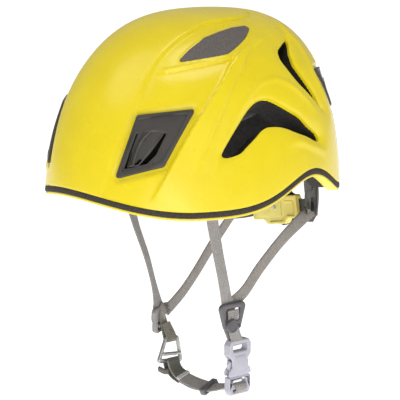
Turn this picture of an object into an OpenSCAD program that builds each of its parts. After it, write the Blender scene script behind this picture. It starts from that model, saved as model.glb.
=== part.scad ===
// Climbing helmet: an in-moulded shell and foam liner with four lamp clips,
// pads, a nape adjuster and a webbing chin harness.
// Front faces -Y, the wearer's left is +X and +Z is up. The origin lies on
// the middle line of the head, near the level of the front rim.

/* [Shell] */
// Half of the outside length, front to back
shell_half_length = 138; // [125:1:150]
// Half of the outside width, side to side
shell_half_width = 113; // [100:1:125]
// Height of the crown above the origin
shell_height = 164.5; // [145:1:180]
// How far the crown point lies behind the middle
crown_shift = 13; // [0:1:25]
// Thickness of the hard outer shell
shell_wall = 2.2; // [1.5:0.1:3]
// Thickness of the foam behind the shell
foam_wall = 22; // [15:1:28]

/* [Rim] */
// Height of the rim at the brow
rim_front = 25.5; // [18:0.5:32]
// Height of the rim where it dips in front of the ear
rim_dip = 11.6; // [8:0.2:16]
// Rise of the arch in the rim behind the ear
rim_arch = 25; // [10:1:32]
// Height of the rim at the nape
rim_back = 10; // [4:0.5:16]
// Depth of the foam showing below the hard shell
foam_drop = 4.6; // [3:0.2:7]
// Depth of the rim trim below the foam
trim_drop = 2.6; // [1.5:0.1:4]

/* [Harness] */
// Width of the webbing
web_width = 13; // [10:0.5:16]
// Thickness of the webbing
web_thickness = 1.6; // [1.2:0.1:2]
// Height of the left strap ring's middle
left_ring_z = -96; // [-104:1:-90]
// Height of the right strap ring's middle
right_ring_z = -113; // [-116:1:-104]
// Distance of the hanging straps from the middle plane
strap_x = 50; // [45:1:60]

/* [Nape adjuster] */
// Width of the nape housing
housing_width = 62; // [50:1:70]
// Height of the nape housing
housing_height = 31; // [26:1:36]
// Height of the dial's axis
dial_z = -20; // [-24:1:-14]
// Tilt of the nape adjuster as it hangs, wearer's left side up
nape_roll = 11; // [0:1:12]
// Radius of the dial
dial_radius = 18; // [14:0.5:20]
// Number of teeth on the dial's pinion
pinion_teeth = 10; // [10:2:10]
// Gear module of the pinion and the toothed arms
tooth_module = 0.8; // [0.7:0.05:0.85]

/* [Hidden] */
eps = 0.01;
yellow = [0.95, 0.83, 0.12];
charcoal = [0.2, 0.19, 0.18];
grey = [0.55, 0.53, 0.51];
pale = [0.75, 0.74, 0.78];
soft_black = [0.12, 0.12, 0.13];
around_steps = 72;
up_steps = 15;
foam_face = shell_wall + 0.45;
foam_back = foam_face + foam_wall;
trim_reach = 11;
// How square the dome is: 1 gives an ellipsoid, less is fuller
dome_power = 0.675;

// A point of the dome. side is the angle round from the front towards the
// wearer's left, up is the climbing angle, and deep is the depth below the
// outer face.
function dome(side, up, deep) = [
    (shell_half_width - deep) * pow(cos(up), dome_power) * sin(side),
    crown_shift * pow(max(sin(up), 0), 2)
        - (shell_half_length - deep) * pow(cos(up), dome_power) * cos(side),
    (shell_height - deep) * sin(up)];
// Height of the hard shell's lower edge all the way round
function fold(side) = abs(side > 180 ? side - 360 : side);
function rim_front_part(s) = (rim_front + rim_dip) / 2
    + (rim_front - rim_dip) / 2 * cos(min(s, 57) * 180 / 57);
function rim_back_part(s) = (rim_back - rim_dip) / 2 * (1 - cos(max(s - 57, 0) * 180 / 123));
function rim_bump(s) = rim_arch * exp(-pow((s - 107.5) / 20, 2));
function rim_z(side) = rim_front_part(fold(side)) + rim_back_part(fold(side)) + rim_bump(fold(side));
function climb(z, deep) = asin(z / (shell_height - deep));

// Closed dome-shaped skin between two depths, drop below the rim line
module dome_skin(out, in, drop, steps) {
    n = steps;
    m = up_steps;
    side_at = function(i) i * 360 / n;
    up_at = function(i, j, d) let (low = climb(rim_z(side_at(i)) - drop, d))
        low + (90 - low) * j / m;
    rows_out = [for (j = [0:m - 1]) for (i = [0:n - 1]) dome(side_at(i), up_at(i, j, out), out)];
    rows_in = [for (j = [0:m - 1]) for (i = [0:n - 1]) dome(side_at(i), up_at(i, j, in), in)];
    tops = [dome(0, 90, out), dome(0, 90, in)];
    b = n * m;
    quads = [for (j = [0:m - 2]) for (i = [0:n - 1]) let (k = (i + 1) % n)
        each [[j * n + i, (j + 1) * n + i, (j + 1) * n + k], [j * n + i, (j + 1) * n + k, j * n + k],
            [b + j * n + i, b + (j + 1) * n + k, b + (j + 1) * n + i],
            [b + j * n + i, b + j * n + k, b + (j + 1) * n + k]]];
    caps = [for (i = [0:n - 1]) let (k = (i + 1) % n, t = (m - 1) * n)
        each [[t + i, 2 * b, t + k], [b + t + i, b + t + k, 2 * b + 1],
            [i, k, b + k], [i, b + k, b + i]]];
    polyhedron(concat(rows_out, rows_in, tops), concat(quads, caps), convexity = 6);
}

// Closed band under the rim, between two depths and two drops
module rim_band(out, in, drop_top, drop_low, steps) {
    n = steps;
    ring = function(d, drop) [for (i = [0:n - 1])
        dome(i * 360 / n, climb(rim_z(i * 360 / n) - drop, d), d)];
    points = concat(ring(out, drop_top), ring(out, drop_low), ring(in, drop_low), ring(in, drop_top));
    faces = [for (r = [0:3]) for (i = [0:n - 1]) let (k = (i + 1) % n, s = (r + 1) % 4)
        each [[r * n + i, r * n + k, s * n + k], [r * n + i, s * n + k, s * n + i]]];
    polyhedron(points, faces, convexity = 6);
}

// Closed patch that follows the dome; corners run low-right, low-left,
// high-left, high-right as pairs of side and up angles
module patch(corners, out, in, n) {
    mix = function(a, b, t) a + (b - a) * t;
    at = function(i, j) mix(mix(corners[0], corners[1], i / n), mix(corners[3], corners[2], i / n), j / n);
    w = n + 1;
    b = w * w;
    skin = function(d) [for (j = [0:n]) for (i = [0:n]) let (q = at(i, j)) dome(q[0], q[1], d)];
    flat_faces = [for (j = [0:n - 1]) for (i = [0:n - 1]) let (a = j * w + i)
        each [[a, a + w, a + w + 1], [a, a + w + 1, a + 1],
            [b + a, b + a + w + 1, b + a + w], [b + a, b + a + 1, b + a + w + 1]]];
    rim = concat([for (i = [0:n]) i], [for (j = [1:n]) j * w + n],
        [for (i = [1:n]) n * w + n - i], [for (j = [1:n - 1]) (n - j) * w]);
    c = len(rim);
    edge_faces = [for (k = [0:c - 1]) let (p = rim[k], q = rim[(k + 1) % c])
        each [[p, q, b + q], [p, b + q, b + p]]];
    polyhedron(concat(skin(out), skin(in)), concat(flat_faces, edge_faces), convexity = 4);
}

// Upright direction frame: turns the Z axis onto the line from a to b
module between(a, b) {
    v = b - a;
    length = norm(v);
    translate(a) rotate([0, acos(v[2] / length), atan2(v[1], v[0])]) children();
}

// A short peg standing through the wall at one place of the dome
module peg(spot, radius, out, in) {
    a = dome(spot[0], spot[1], in);
    b = dome(spot[0], spot[1], out);
    between(a, b) cylinder(r = radius, h = norm(b - a), $fn = 16);
}

// A slot through the wall along places with their own radii
module slot_cut(path, out, in) {
    for (i = [0:len(path) - 2]) {
        hull() {
            peg([path[i][0], path[i][1]], path[i][2], out, in);
            peg([path[i + 1][0], path[i + 1][1]], path[i + 1][2], out, in);
        }
    }
}

module plate_cut(corners, grow, out, in) {
    hull() {
        for (c = corners) {
            peg(c, grow, out, in);
        }
    }
}

// Side vent: a bent slot, widest at its bend. Each place is side, up, radius
side_vent = [[66.8, 20.8, 3.6], [72.7, 24.8, 8.2], [78.5, 29.6, 11], [84.8, 32.2, 11.6],
    [95.3, 30.4, 9.4], [104, 27.2, 7.2], [109.4, 24.2, 4.5], [114.6, 21, 2.2]];
// Rear vent: a slim slot falling backwards
rear_vent = [[118.6, 59, 2.4], [109.4, 55.4, 5], [106.8, 50.4, 5.2], [108.2, 46, 4.2],
    [112, 41, 3.3], [116.4, 36.4, 2.6], [122, 31, 1.6]];
// Window in the shell where the foam shows
window = [[44.8, 53.2], [49.4, 58], [57.4, 63.6], [66.4, 66.2], [87.6, 69.2], [72.6, 58.2], [68.6, 56.6]];

// Lamp clip outlines, low-right, low-left, high-left and high-right as seen
front_clip = [[43.4, 17.3], [24.2, 13.4], [29.6, 32.8], [54.2, 34.9]];
hook_outline = [[32, 18.1], [29, 17.7], [31.6, 27.9], [42.4, 28.1]];
clip_gap = [[34.6, 16.9], [28.2, 16.5], [30.6, 28.7], [44.6, 29.1]];
// The rear clip is the front one turned round the dome, a little smaller
function rear_place(c) = [144 - (c[0] - 38) * 0.9, 35 + (c[1] - 24) * 0.85];
function rear_outline(c) = [rear_place(c[1]), rear_place(c[0]), rear_place(c[3]), rear_place(c[2])];
rear_clip = rear_outline(front_clip);
rear_hook = rear_outline(hook_outline);
rear_gap = rear_outline(clip_gap);
clip_depth = 2.8;
pocket_depth = 13;
pad_start = foam_back + 0.4;

module both_sides() {
    children();
    mirror([1, 0, 0]) children();
}

module vents(out, in) {
    slot_cut(side_vent, out, in);
    slot_cut(rear_vent, out, in);
}

module outer_shell() color(yellow) difference() {
    dome_skin(0, shell_wall, 0, around_steps);
    both_sides() {
        vents(-6, 9);
        plate_cut(window, 0.5, -6, 9);
        plate_cut(front_clip, 1.2, -6, 9);
        plate_cut(rear_clip, 1.2, -6, 9);
    }
}

module foam_liner() color(charcoal) difference() {
    dome_skin(foam_face, foam_back, foam_drop, around_steps);
    both_sides() {
        vents(-6, 34);
        plate_cut(front_clip, 1.2, -6, pocket_depth);
        plate_cut(rear_clip, 1.2, -6, pocket_depth);
    }
}

// The trim wraps the foam's lower edge
module rim_trim() color(yellow) {
    rim_band(1.2, trim_reach, foam_drop + 0.35, foam_drop + trim_drop, around_steps);
}

module lamp_clip(outline, gap) color(charcoal) difference() {
    patch(outline, -0.6, clip_depth, 8);
    plate_cut(gap, 0.4, -6, 9);
}

module clip_hook(outline) color(charcoal) {
    patch(outline, -1, clip_depth - 0.6, 5);
}

module lamp_clip_front_left() lamp_clip(front_clip, clip_gap);
module lamp_clip_front_right() mirror([1, 0, 0]) lamp_clip(front_clip, clip_gap);
module lamp_clip_rear_left() lamp_clip(rear_clip, rear_gap);
module lamp_clip_rear_right() mirror([1, 0, 0]) lamp_clip(rear_clip, rear_gap);
module clip_hook_front_left() clip_hook(hook_outline);
module clip_hook_front_right() mirror([1, 0, 0]) clip_hook(hook_outline);
module clip_hook_rear_left() clip_hook(rear_hook);
module clip_hook_rear_right() mirror([1, 0, 0]) clip_hook(rear_hook);

// Soft pads against the inside of the foam
pad_thick = 7;
module brow_pad() color(soft_black) {
    patch([[-40, 9], [40, 9], [36, 18.5], [-36, 18.5]], pad_start, pad_start + pad_thick, 10);
}
module side_pad() color(soft_black) {
    patch([[60, 30], [104, 40], [100, 50], [64, 42]], pad_start, pad_start + pad_thick, 8);
}
module side_pad_left() side_pad();
module side_pad_right() mirror([1, 0, 0]) side_pad();
module crown_pad() color(soft_black) {
    deep = pad_start + pad_thick / 2 + 2.6;
    web(concat([for (up = [48:7:90]) [dome(0, up, deep), [1, 0, 0]]],
        [for (up = [83:-7:48]) [dome(180, up, deep), [1, 0, 0]]]), 38, pad_thick);
}

// Flat web along a path. Each stop is a point and the web's width direction
module web(stops, width, thick) {
    n = len(stops);
    unit = function(v) v / norm(v);
    way = function(i) unit(stops[min(i + 1, n - 1)][0] - stops[max(i - 1, 0)][0]);
    points = [for (i = [0:n - 1]) let (s = unit(stops[i][1]), q = unit(cross(way(i), s)))
        each [stops[i][0] + s * width / 2 + q * thick / 2, stops[i][0] - s * width / 2 + q * thick / 2,
            stops[i][0] - s * width / 2 - q * thick / 2, stops[i][0] + s * width / 2 - q * thick / 2]];
    walls = [for (i = [0:n - 2]) for (k = [0:3]) let (a = 4 * i + k, b = 4 * i + (k + 1) % 4)
        each [[a, a + 4, b + 4], [a, b + 4, b]]];
    ends = [[0, 1, 2], [0, 2, 3], [4 * n - 2, 4 * n - 3, 4 * n - 4], [4 * n - 1, 4 * n - 2, 4 * n - 4]];
    polyhedron(points, concat(walls, ends), convexity = 4);
}

// Places of the harness
anchor = [76.5, -40, 26];
temple_bend = [56.5, -30, -4];
// A point given in the tilted frame of the nape adjuster
function nape_point(q) = [q[0] * cos(nape_roll) - q[2] * sin(nape_roll), q[1],
    dial_z + q[0] * sin(nape_roll) + q[2] * cos(nape_roll)];
hanger_mouth = [40, 97.6, -9];
tab_height = 3.2;
ring_width = 29;
ring_height = 24;
ring_thick = 4;
// Height of the web's fold above the ring's middle, inside its window
fold_rise = 4;

// One continuous web: anchor, temple, ring, and back up to the hanger's slot
module side_strap(turn, ring_z) color(grey) {
    x = strap_x + ring_thick / 2 + web_thickness / 2 + 0.5;
    over = x + web_thickness - 0.5;
    mouth = nape_point([turn * hanger_mouth[0], hanger_mouth[1], hanger_mouth[2]]);
    end = [turn * mouth[0], mouth[1], mouth[2]];
    flat_way = [cos(nape_roll), 0, turn * sin(nape_roll)];
    mirror([turn > 0 ? 0 : 1, 0, 0]) {
        web([[anchor, [0.1, 1, 0]], [temple_bend, [0.2, 1, 0.1]],
            [[x + 0.2, -6, ring_z + 22], [0, 0.95, 0.3]], [[x, -1, ring_z + 6], [0, 0.95, 0.3]]],
            web_width, web_thickness);
        web([[[over, 3, ring_z + 8.4], [0, 0.6, -0.8]], [[over - 0.2, 16, ring_z + 18], [0.1, 0.6, -0.8]],
            [end + [6, -18, -15], [0.55, 0.5, -0.6]], [end + [0.5, -9, -3], [0.9, 0.3, -0.1]],
            [end + [0, -5.5, 0], flat_way], [end, flat_way]], web_width, web_thickness);
        translate([strap_x - ring_thick / 2 + 0.2, 1 - web_width / 2, ring_z + fold_rise - web_thickness / 2])
            cube([over - strap_x + 2, web_width - 2, web_thickness]);
    }
}
module side_strap_left() side_strap(1, left_ring_z);
module side_strap_right() side_strap(-1, right_ring_z);

// Round buttons that pin the front straps to the foam
module strap_anchors() color(charcoal) {
    face = [0.8, -0.08, -0.59];
    both_sides() between(anchor - face, anchor - face * 4) cylinder(r = 7, h = 3, $fn = 32);
}

// Rounded plate, wide at the top, with a window and a web slot, in the YZ plane
module ring_outline() {
    hull() {
        for (s = [-1, 1]) {
            translate([s * (ring_width / 2 - 4), ring_height / 2 - 4]) circle(r = 4, $fn = 32);
            translate([s * 5, -ring_height / 2 + 5]) circle(r = 5, $fn = 32);
        }
    }
}
module strap_ring(tab) color(charcoal) rotate([90, 0, 90]) {
    translate([0, 0, -ring_thick / 2]) linear_extrude(ring_thick) difference() {
        ring_outline();
        translate([-8, -3]) square([16, 11.2]);
        translate([-7.2, -9.6]) square([14.4, 2.8]);
    }
    if (tab) {
        translate([0, -7.2, ring_thick / 2 - eps]) cylinder(r = 6, h = tab_height, $fn = 48);
    }
}
module strap_ring_left() translate([strap_x, 0, left_ring_z]) strap_ring(true);
module strap_ring_right() translate([-strap_x, 0, right_ring_z]) strap_ring(false);

// Short web from the left ring down into the buckle socket
module lower_web_left() color(grey) {
    top = left_ring_z - 8.2;
    x = strap_x - ring_thick / 2 - web_thickness / 2 - 0.5;
    web([[[x, 0, top + 0.8], [0, 1, 0]], [[x, 0, top - 5], [0, 1, 0]],
        [[strap_x, 5, socket_top + 2], [0, 1, 0]], [[strap_x, 6.5, socket_top - 3.5], [0, 1, 0]],
        [[strap_x, 6.5, socket_top - 9.9], [0, 1, 0]]], web_width, web_thickness);
    translate([x, -web_width / 2, top - web_thickness / 2])
        cube([ring_thick + 1, web_width, web_thickness]);
}
// Web that runs down inside the right ring and holds the triangle ring
module lower_web_right() color(grey) {
    x = -strap_x + ring_thick / 2 + web_thickness / 2 + 1;
    loop_x = tri[0] - 2.9;
    web([[[x, 0, right_ring_z + 20], [0, 1, 0]], [[x, 0, right_ring_z - 12], [0, 1, 0]],
        [[loop_x, tri[1] - 1, tri[2] + 12], [0, 1, 0]], [[loop_x, tri[1], tri[2] + 7], [0, 1, 0]]],
        web_width, web_thickness);
    translate([loop_x, tri[1] - web_width / 2, tri[2] + 6.2]) cube([5, web_width, web_thickness]);
}

// Side-release buckle: the socket is a flat sleeve open at both sides
buckle_y = 6.5;
socket_top = -117;
socket_length = 31.5;
socket_low = socket_top - socket_length;
module socket_plate(x, thick) {
    translate([x, buckle_y, 0]) rotate([90, 0, 90]) linear_extrude(thick) difference() {
        hull() {
            for (s = [-1, 1]) {
                translate([s * 9.5, socket_top - 4]) circle(r = 4, $fn = 32);
                translate([s * 10.5, socket_low + 3]) circle(r = 3, $fn = 32);
            }
        }
        translate([-7.6, socket_top - 9]) square([15.2, 5.4]);
    }
}
module buckle_socket() color(pale) {
    socket_plate(strap_x - 4.2, 1.8);
    socket_plate(strap_x + 2.4, 1.8);
    translate([strap_x - 2.4 - eps, buckle_y - 11, socket_top - 15])
        cube([4.8 + 2 * eps, 22, 4.5]);
}
// The plug, drawn from the socket's lower edge
module buckle_plug() color(pale) translate([strap_x, buckle_y, socket_low]) rotate([90, 0, 90]) {
    translate([0, 0, -1.8]) linear_extrude(3.6) translate([-2, -4]) square([4, 17.5]);
    translate([0, 0, -3.4]) linear_extrude(6.8) difference() {
        hull() {
            for (s = [-1, 1]) {
                translate([s * 10.5, -4]) circle(r = 3, $fn = 32);
                translate([s * 10, -12]) circle(r = 3.6, $fn = 32);
            }
        }
        translate([-7.6, -7]) square([15.2, 3]);
        translate([-7.6, -13]) square([15.2, 3]);
    }
}
// Springy prong whose shoulder shows at the socket's side
module prong(turn) color(pale) translate([strap_x - 1.8, buckle_y, socket_low]) scale([1, turn, 1])
    rotate([90, 0, 90]) linear_extrude(3.6)
        polygon([[4, -0.6], [7.5, -0.6], [9.6, 4], [12.6, 7.5], [12.4, 12.6],
            [9.6, 13.6], [6.6, 12.4], [6.2, 7]]);
module buckle_prong_front() prong(-1);
module buckle_prong_back() prong(1);

// Triangle ring at the right end of the chin web
tri = [-strap_x + 10, 6, -143];
module triangle_ring() color(pale) translate(tri) rotate([90, 0, 90])
    translate([0, 0, -1.6]) linear_extrude(3.2) difference() {
        hull() {
            translate([-7.5, 8.6]) circle(r = 3, $fn = 32);
            translate([7.5, 8.6]) circle(r = 3, $fn = 32);
            translate([-11, -9]) circle(r = 3, $fn = 32);
            translate([11, -9]) circle(r = 3, $fn = 32);
        }
        hull() {
            translate([-7.2, 7]) circle(r = 1.6, $fn = 24);
            translate([7.2, 7]) circle(r = 1.6, $fn = 24);
            translate([-9.4, -7]) circle(r = 1.6, $fn = 24);
            translate([9.4, -7]) circle(r = 1.6, $fn = 24);
        }
    }

module chin_web() color(soft_black) {
    translate([tri[0] - 1.5, tri[1] - web_width / 2, tri[2] - 6.6]) cube([5, web_width, web_thickness]);
    web([[[tri[0] + 3, tri[1], tri[2] - 5], [0, 1, 0]], [[tri[0] + 3.4, tri[1], tri[2] - 12], [0, 1, 0]],
        [[tri[0] + 8, tri[1], -160.4], [0, 1, 0]], [[-20, 5.6, -165.6], [0, 1, -0.3]],
        [[2, 5.8, -166.4], [0, 1, -0.5]], [[24, 6.2, -164.4], [0, 1, -0.3]],
        [[38, 6.4, -160.2], [0, 1, 0]], [[45, 6.5, -158.4], [0, 1, 0]]], web_width, web_thickness);
}
// Sliding keeper round the chin web
module web_keeper() color(grey) translate([13, 6, -165.4]) rotate([-21.6, -5.2, 0]) difference() {
    cube([6, web_width + 5, web_thickness + 4.4], center = true);
    cube([8, web_width + 1.6, web_thickness + 1.6], center = true);
}

// Nape adjuster, drawn in a tilted frame with its origin on the dial's axis
housing_y = 93.6;
channel_y = 96.8;
channel_depth = 4;
arm_height = 11.6;
arm_thick = 1.4;
cover_y = channel_y + channel_depth + 0.1;
pinion_pitch = tooth_module * pinion_teeth / 2;
shaft_radius = 2.8;
module nape_frame() {
    translate([0, 0, dial_z]) rotate([0, -nape_roll, 0]) children();
}
module upright(y, thick) {
    nape_frame() translate([0, y + thick, 0]) rotate([90, 0, 0]) linear_extrude(thick) children();
}
module along_y(y, radius, length, steps) {
    translate([0, y, 0]) rotate([-90, 0, 0]) cylinder(r = radius, h = length, $fn = steps);
}
module housing_outline(inset) {
    hull() {
        for (s = [-1, 1]) {
            translate([s * (housing_width / 2 - 5), 4]) circle(r = 5 - inset, $fn = 32);
            translate([s * (housing_width / 2 - 5), -6]) circle(r = 5 - inset, $fn = 32);
            translate([s * 12, housing_height / 2 - 5]) circle(r = 5 - inset, $fn = 32);
            translate([s * 10, -housing_height / 2 + 5]) circle(r = 5 - inset, $fn = 32);
        }
    }
}
// Yellow front half with a channel for the toothed arms
module nape_housing() color(yellow) difference() {
    upright(housing_y, channel_y + channel_depth - housing_y) housing_outline(0);
    nape_frame() {
        translate([-housing_width, channel_y, -arm_height / 2 - 0.6])
            cube([2 * housing_width, channel_depth + 1, arm_height + 1.2]);
        along_y(housing_y - 1, 1.52, 10, 32);
    }
}
module nape_cover() color(charcoal) difference() {
    upright(cover_y, 1.6) housing_outline(1);
    nape_frame() along_y(cover_y - 1, shaft_radius + 0.2, 10, 48);
}
// Half of one tooth's outline mirrored about its middle line, tip at far
module tooth(root, far) {
    m = tooth_module;
    middle = pinion_pitch;
    polygon([[-0.25 * m, far], [-0.54 * m, middle], [-0.97 * m, root],
        [0.97 * m, root], [0.54 * m, middle], [0.25 * m, far]]);
}
module pinion_outline() {
    circle(r = pinion_pitch - 1.15 * tooth_module, $fn = 48);
    for (i = [0:pinion_teeth - 1]) {
        rotate(i * 360 / pinion_teeth - 90)
            tooth(pinion_pitch - 1.4 * tooth_module, pinion_pitch + 0.7 * tooth_module);
    }
}
dial_start = cover_y + 2;
dial_thick = 8;
module adjuster_dial() color(charcoal) nape_frame() rotate([-90, 0, 0]) difference() {
    union() {
        translate([0, 0, channel_y + 0.3]) linear_extrude(channel_depth - 0.5) pinion_outline();
        translate([0, 0, channel_y + 1]) cylinder(r = shaft_radius, h = dial_start - channel_y, $fn = 48);
        translate([0, 0, dial_start]) linear_extrude(dial_thick) difference() {
            circle(r = dial_radius, $fn = 96);
            for (i = [0:15]) {
                rotate((i + 0.5) * 22.5) translate([dial_radius + 1.4, 0]) circle(r = 2.6, $fn = 24);
            }
        }
    }
    cylinder(r = 1.56, h = dial_start + 2 * dial_thick, $fn = 32);
}
module dial_axle() color(pale) nape_frame() {
    along_y(housing_y, 1.5, dial_start + dial_thick + 1 - housing_y, 32);
    along_y(dial_start + dial_thick + 0.2, 3, 1.2, 32);
}
// Toothed arm: a flat band with a window, toothed along one edge of it
arm_tip = 14;
arm_end = 50;
module arm_teeth() {
    for (i = [-4:6]) {
        translate([i * PI * tooth_module, 0])
            tooth(pinion_pitch + 1.2 * tooth_module, pinion_pitch - 0.7 * tooth_module);
    }
}
module arm_outline() {
    half = pinion_pitch + tooth_module;
    difference() {
        translate([-arm_tip, -arm_height / 2]) square([arm_tip + arm_end, arm_height]);
        difference() {
            translate([-arm_tip + 3, -half]) square([arm_tip + 14, 2 * half]);
            arm_teeth();
        }
    }
}
module cradle_arm_left() color(charcoal) upright(channel_y + 0.4, arm_thick) arm_outline();
module cradle_arm_right() color(charcoal) upright(channel_y + 2.1, arm_thick) rotate(180) arm_outline();

// Two-pronged hanger: a slotted body at the nape with two legs into the liner
module leg(turn, base, top) {
    hull() {
        nape_frame() translate([turn * base[0] - 2.5, base[1], base[2]]) cube([5, 3.4, 2]);
        translate([turn * top[0] - 2.5, top[1], top[2]]) cube([5, 3, 4]);
    }
}
module hanger(turn) color(charcoal) difference() {
    union() {
        nape_frame() mirror([turn > 0 ? 0 : 1, 0, 0]) {
            translate([33, 94, -12]) cube([15, 9.4, 20.4]);
            hull() {
                translate([46, 95, -8]) cube([2, 8.4, 16]);
                translate([57, 81, -4]) cube([2.4, 4, 11]);
            }
        }
        leg(turn, [38.5, 97, 7], [41.5, 91.6, 32]);
        leg(turn, [57.2, 81.2, 5], [55, 75.4, 32]);
    }
    nape_frame() mirror([turn > 0 ? 0 : 1, 0, 0]) {
        translate([30, channel_y + 0.05, -arm_height / 2 - 0.4])
            cube([40, channel_depth - 0.1, arm_height + 0.8]);
        translate([33 - eps, 90, -10.6]) cube([14.3, 20, 3.4]);
    }
}
module hanger_left() hanger(1);
module hanger_right() hanger(-1);

outer_shell();
foam_liner();
rim_trim();
lamp_clip_front_left();
lamp_clip_front_right();
lamp_clip_rear_left();
lamp_clip_rear_right();
clip_hook_front_left();
clip_hook_front_right();
clip_hook_rear_left();
clip_hook_rear_right();
brow_pad();
crown_pad();
side_pad_left();
side_pad_right();
strap_anchors();
side_strap_left();
side_strap_right();
strap_ring_left();
strap_ring_right();
lower_web_left();
lower_web_right();
buckle_socket();
buckle_plug();
buckle_prong_front();
buckle_prong_back();
triangle_ring();
chin_web();
web_keeper();
nape_housing();
nape_cover();
adjuster_dial();
dial_axle();
cradle_arm_left();
cradle_arm_right();
hanger_left();
hanger_right();
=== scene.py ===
import math
import bpy
import bmesh
import numpy as np
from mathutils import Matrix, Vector
from mathutils.geometry import delaunay_2d_cdt


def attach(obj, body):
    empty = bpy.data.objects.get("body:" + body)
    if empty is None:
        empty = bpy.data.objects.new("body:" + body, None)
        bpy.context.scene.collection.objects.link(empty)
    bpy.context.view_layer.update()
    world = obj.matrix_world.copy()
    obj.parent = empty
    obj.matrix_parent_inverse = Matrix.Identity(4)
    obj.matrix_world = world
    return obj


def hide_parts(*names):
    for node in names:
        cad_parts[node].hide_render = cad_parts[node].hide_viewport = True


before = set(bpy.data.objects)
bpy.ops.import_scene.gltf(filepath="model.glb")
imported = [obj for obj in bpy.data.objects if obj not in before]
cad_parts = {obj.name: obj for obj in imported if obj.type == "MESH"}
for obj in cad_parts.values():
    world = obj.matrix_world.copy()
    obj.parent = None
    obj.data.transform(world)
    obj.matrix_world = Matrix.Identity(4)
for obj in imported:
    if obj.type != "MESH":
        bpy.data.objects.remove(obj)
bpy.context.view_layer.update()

MM = 0.001

# ---------------------------------------------------------------- camera, light and floor
AZ, EL = math.radians(49.4), math.radians(11.0)
BACK = Vector((math.sin(AZ) * math.cos(EL), -math.cos(AZ) * math.cos(EL), math.sin(EL)))
RIGHT = Vector((math.cos(AZ), math.sin(AZ), 0))
UP = Vector((-math.sin(AZ) * math.sin(EL), math.cos(AZ) * math.sin(EL), math.cos(EL)))
TARGET = RIGHT * 0.00505 - UP * 0.00122
CAMERA_AWAY, FLOOR_Z = 1.7, -0.42


def make_camera():
    data = bpy.data.cameras.new("camera")
    data.lens, data.sensor_width = 175.9, 36
    data.clip_start, data.clip_end = 0.05, 20
    cam = bpy.data.objects.new("camera", data)
    bpy.context.scene.collection.objects.link(cam)
    cam.location = TARGET + BACK * CAMERA_AWAY
    cam.rotation_mode = "QUATERNION"
    cam.rotation_quaternion = BACK.to_track_quat("Z", "Y")
    bpy.context.scene.camera = cam


def area_light(name, place, size, power):
    data = bpy.data.lights.new(name, "AREA")
    data.shape, data.size, data.energy = "DISK", size, power
    lamp = bpy.data.objects.new(name, data)
    bpy.context.scene.collection.objects.link(lamp)
    lamp.location = place
    lamp.rotation_mode = "QUATERNION"
    lamp.rotation_quaternion = (Vector(place) - Vector((0, 0, 0.03))).to_track_quat("Z", "Y")


def make_studio():
    make_camera()
    area_light("key", (-0.5, -1.2, 1.9), 1.6, 8.5)
    area_light("fill", (1.7, -0.5, 0.6), 1.4, 3.0)
    area_light("top", (0.3, 0.0, 2.0), 1.2, 10.5)
    area_light("under", (1.1, -0.9, -0.25), 1.0, 5.0)
    world = bpy.data.worlds.new("world")
    world.use_nodes = True
    world.node_tree.nodes["Background"].inputs["Color"].default_value = (1, 1, 1, 1)
    world.node_tree.nodes["Background"].inputs["Strength"].default_value = 0.36
    bpy.context.scene.world = world
    bpy.context.scene.view_settings.view_transform = "Standard"
    mesh = bpy.data.meshes.new("floor")
    mesh.from_pydata([(x, y, FLOOR_Z) for x, y in ((-9, -9), (9, -9), (9, 9), (-9, 9))], [], [(0, 1, 2, 3)])
    floor = bpy.data.objects.new("floor", mesh)
    bpy.context.scene.collection.objects.link(floor)
    mat = bpy.data.materials.new("floor_pale")
    mat.use_nodes = True
    shader = mat.node_tree.nodes["Principled BSDF"]
    shader.inputs["Base Color"].default_value = (0.95, 0.95, 0.95, 1)
    shader.inputs["Roughness"].default_value = 0.9
    shader.inputs["Emission Color"].default_value = (1, 1, 1, 1)
    shader.inputs["Emission Strength"].default_value = 0.75
    mesh.materials.append(mat)


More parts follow.
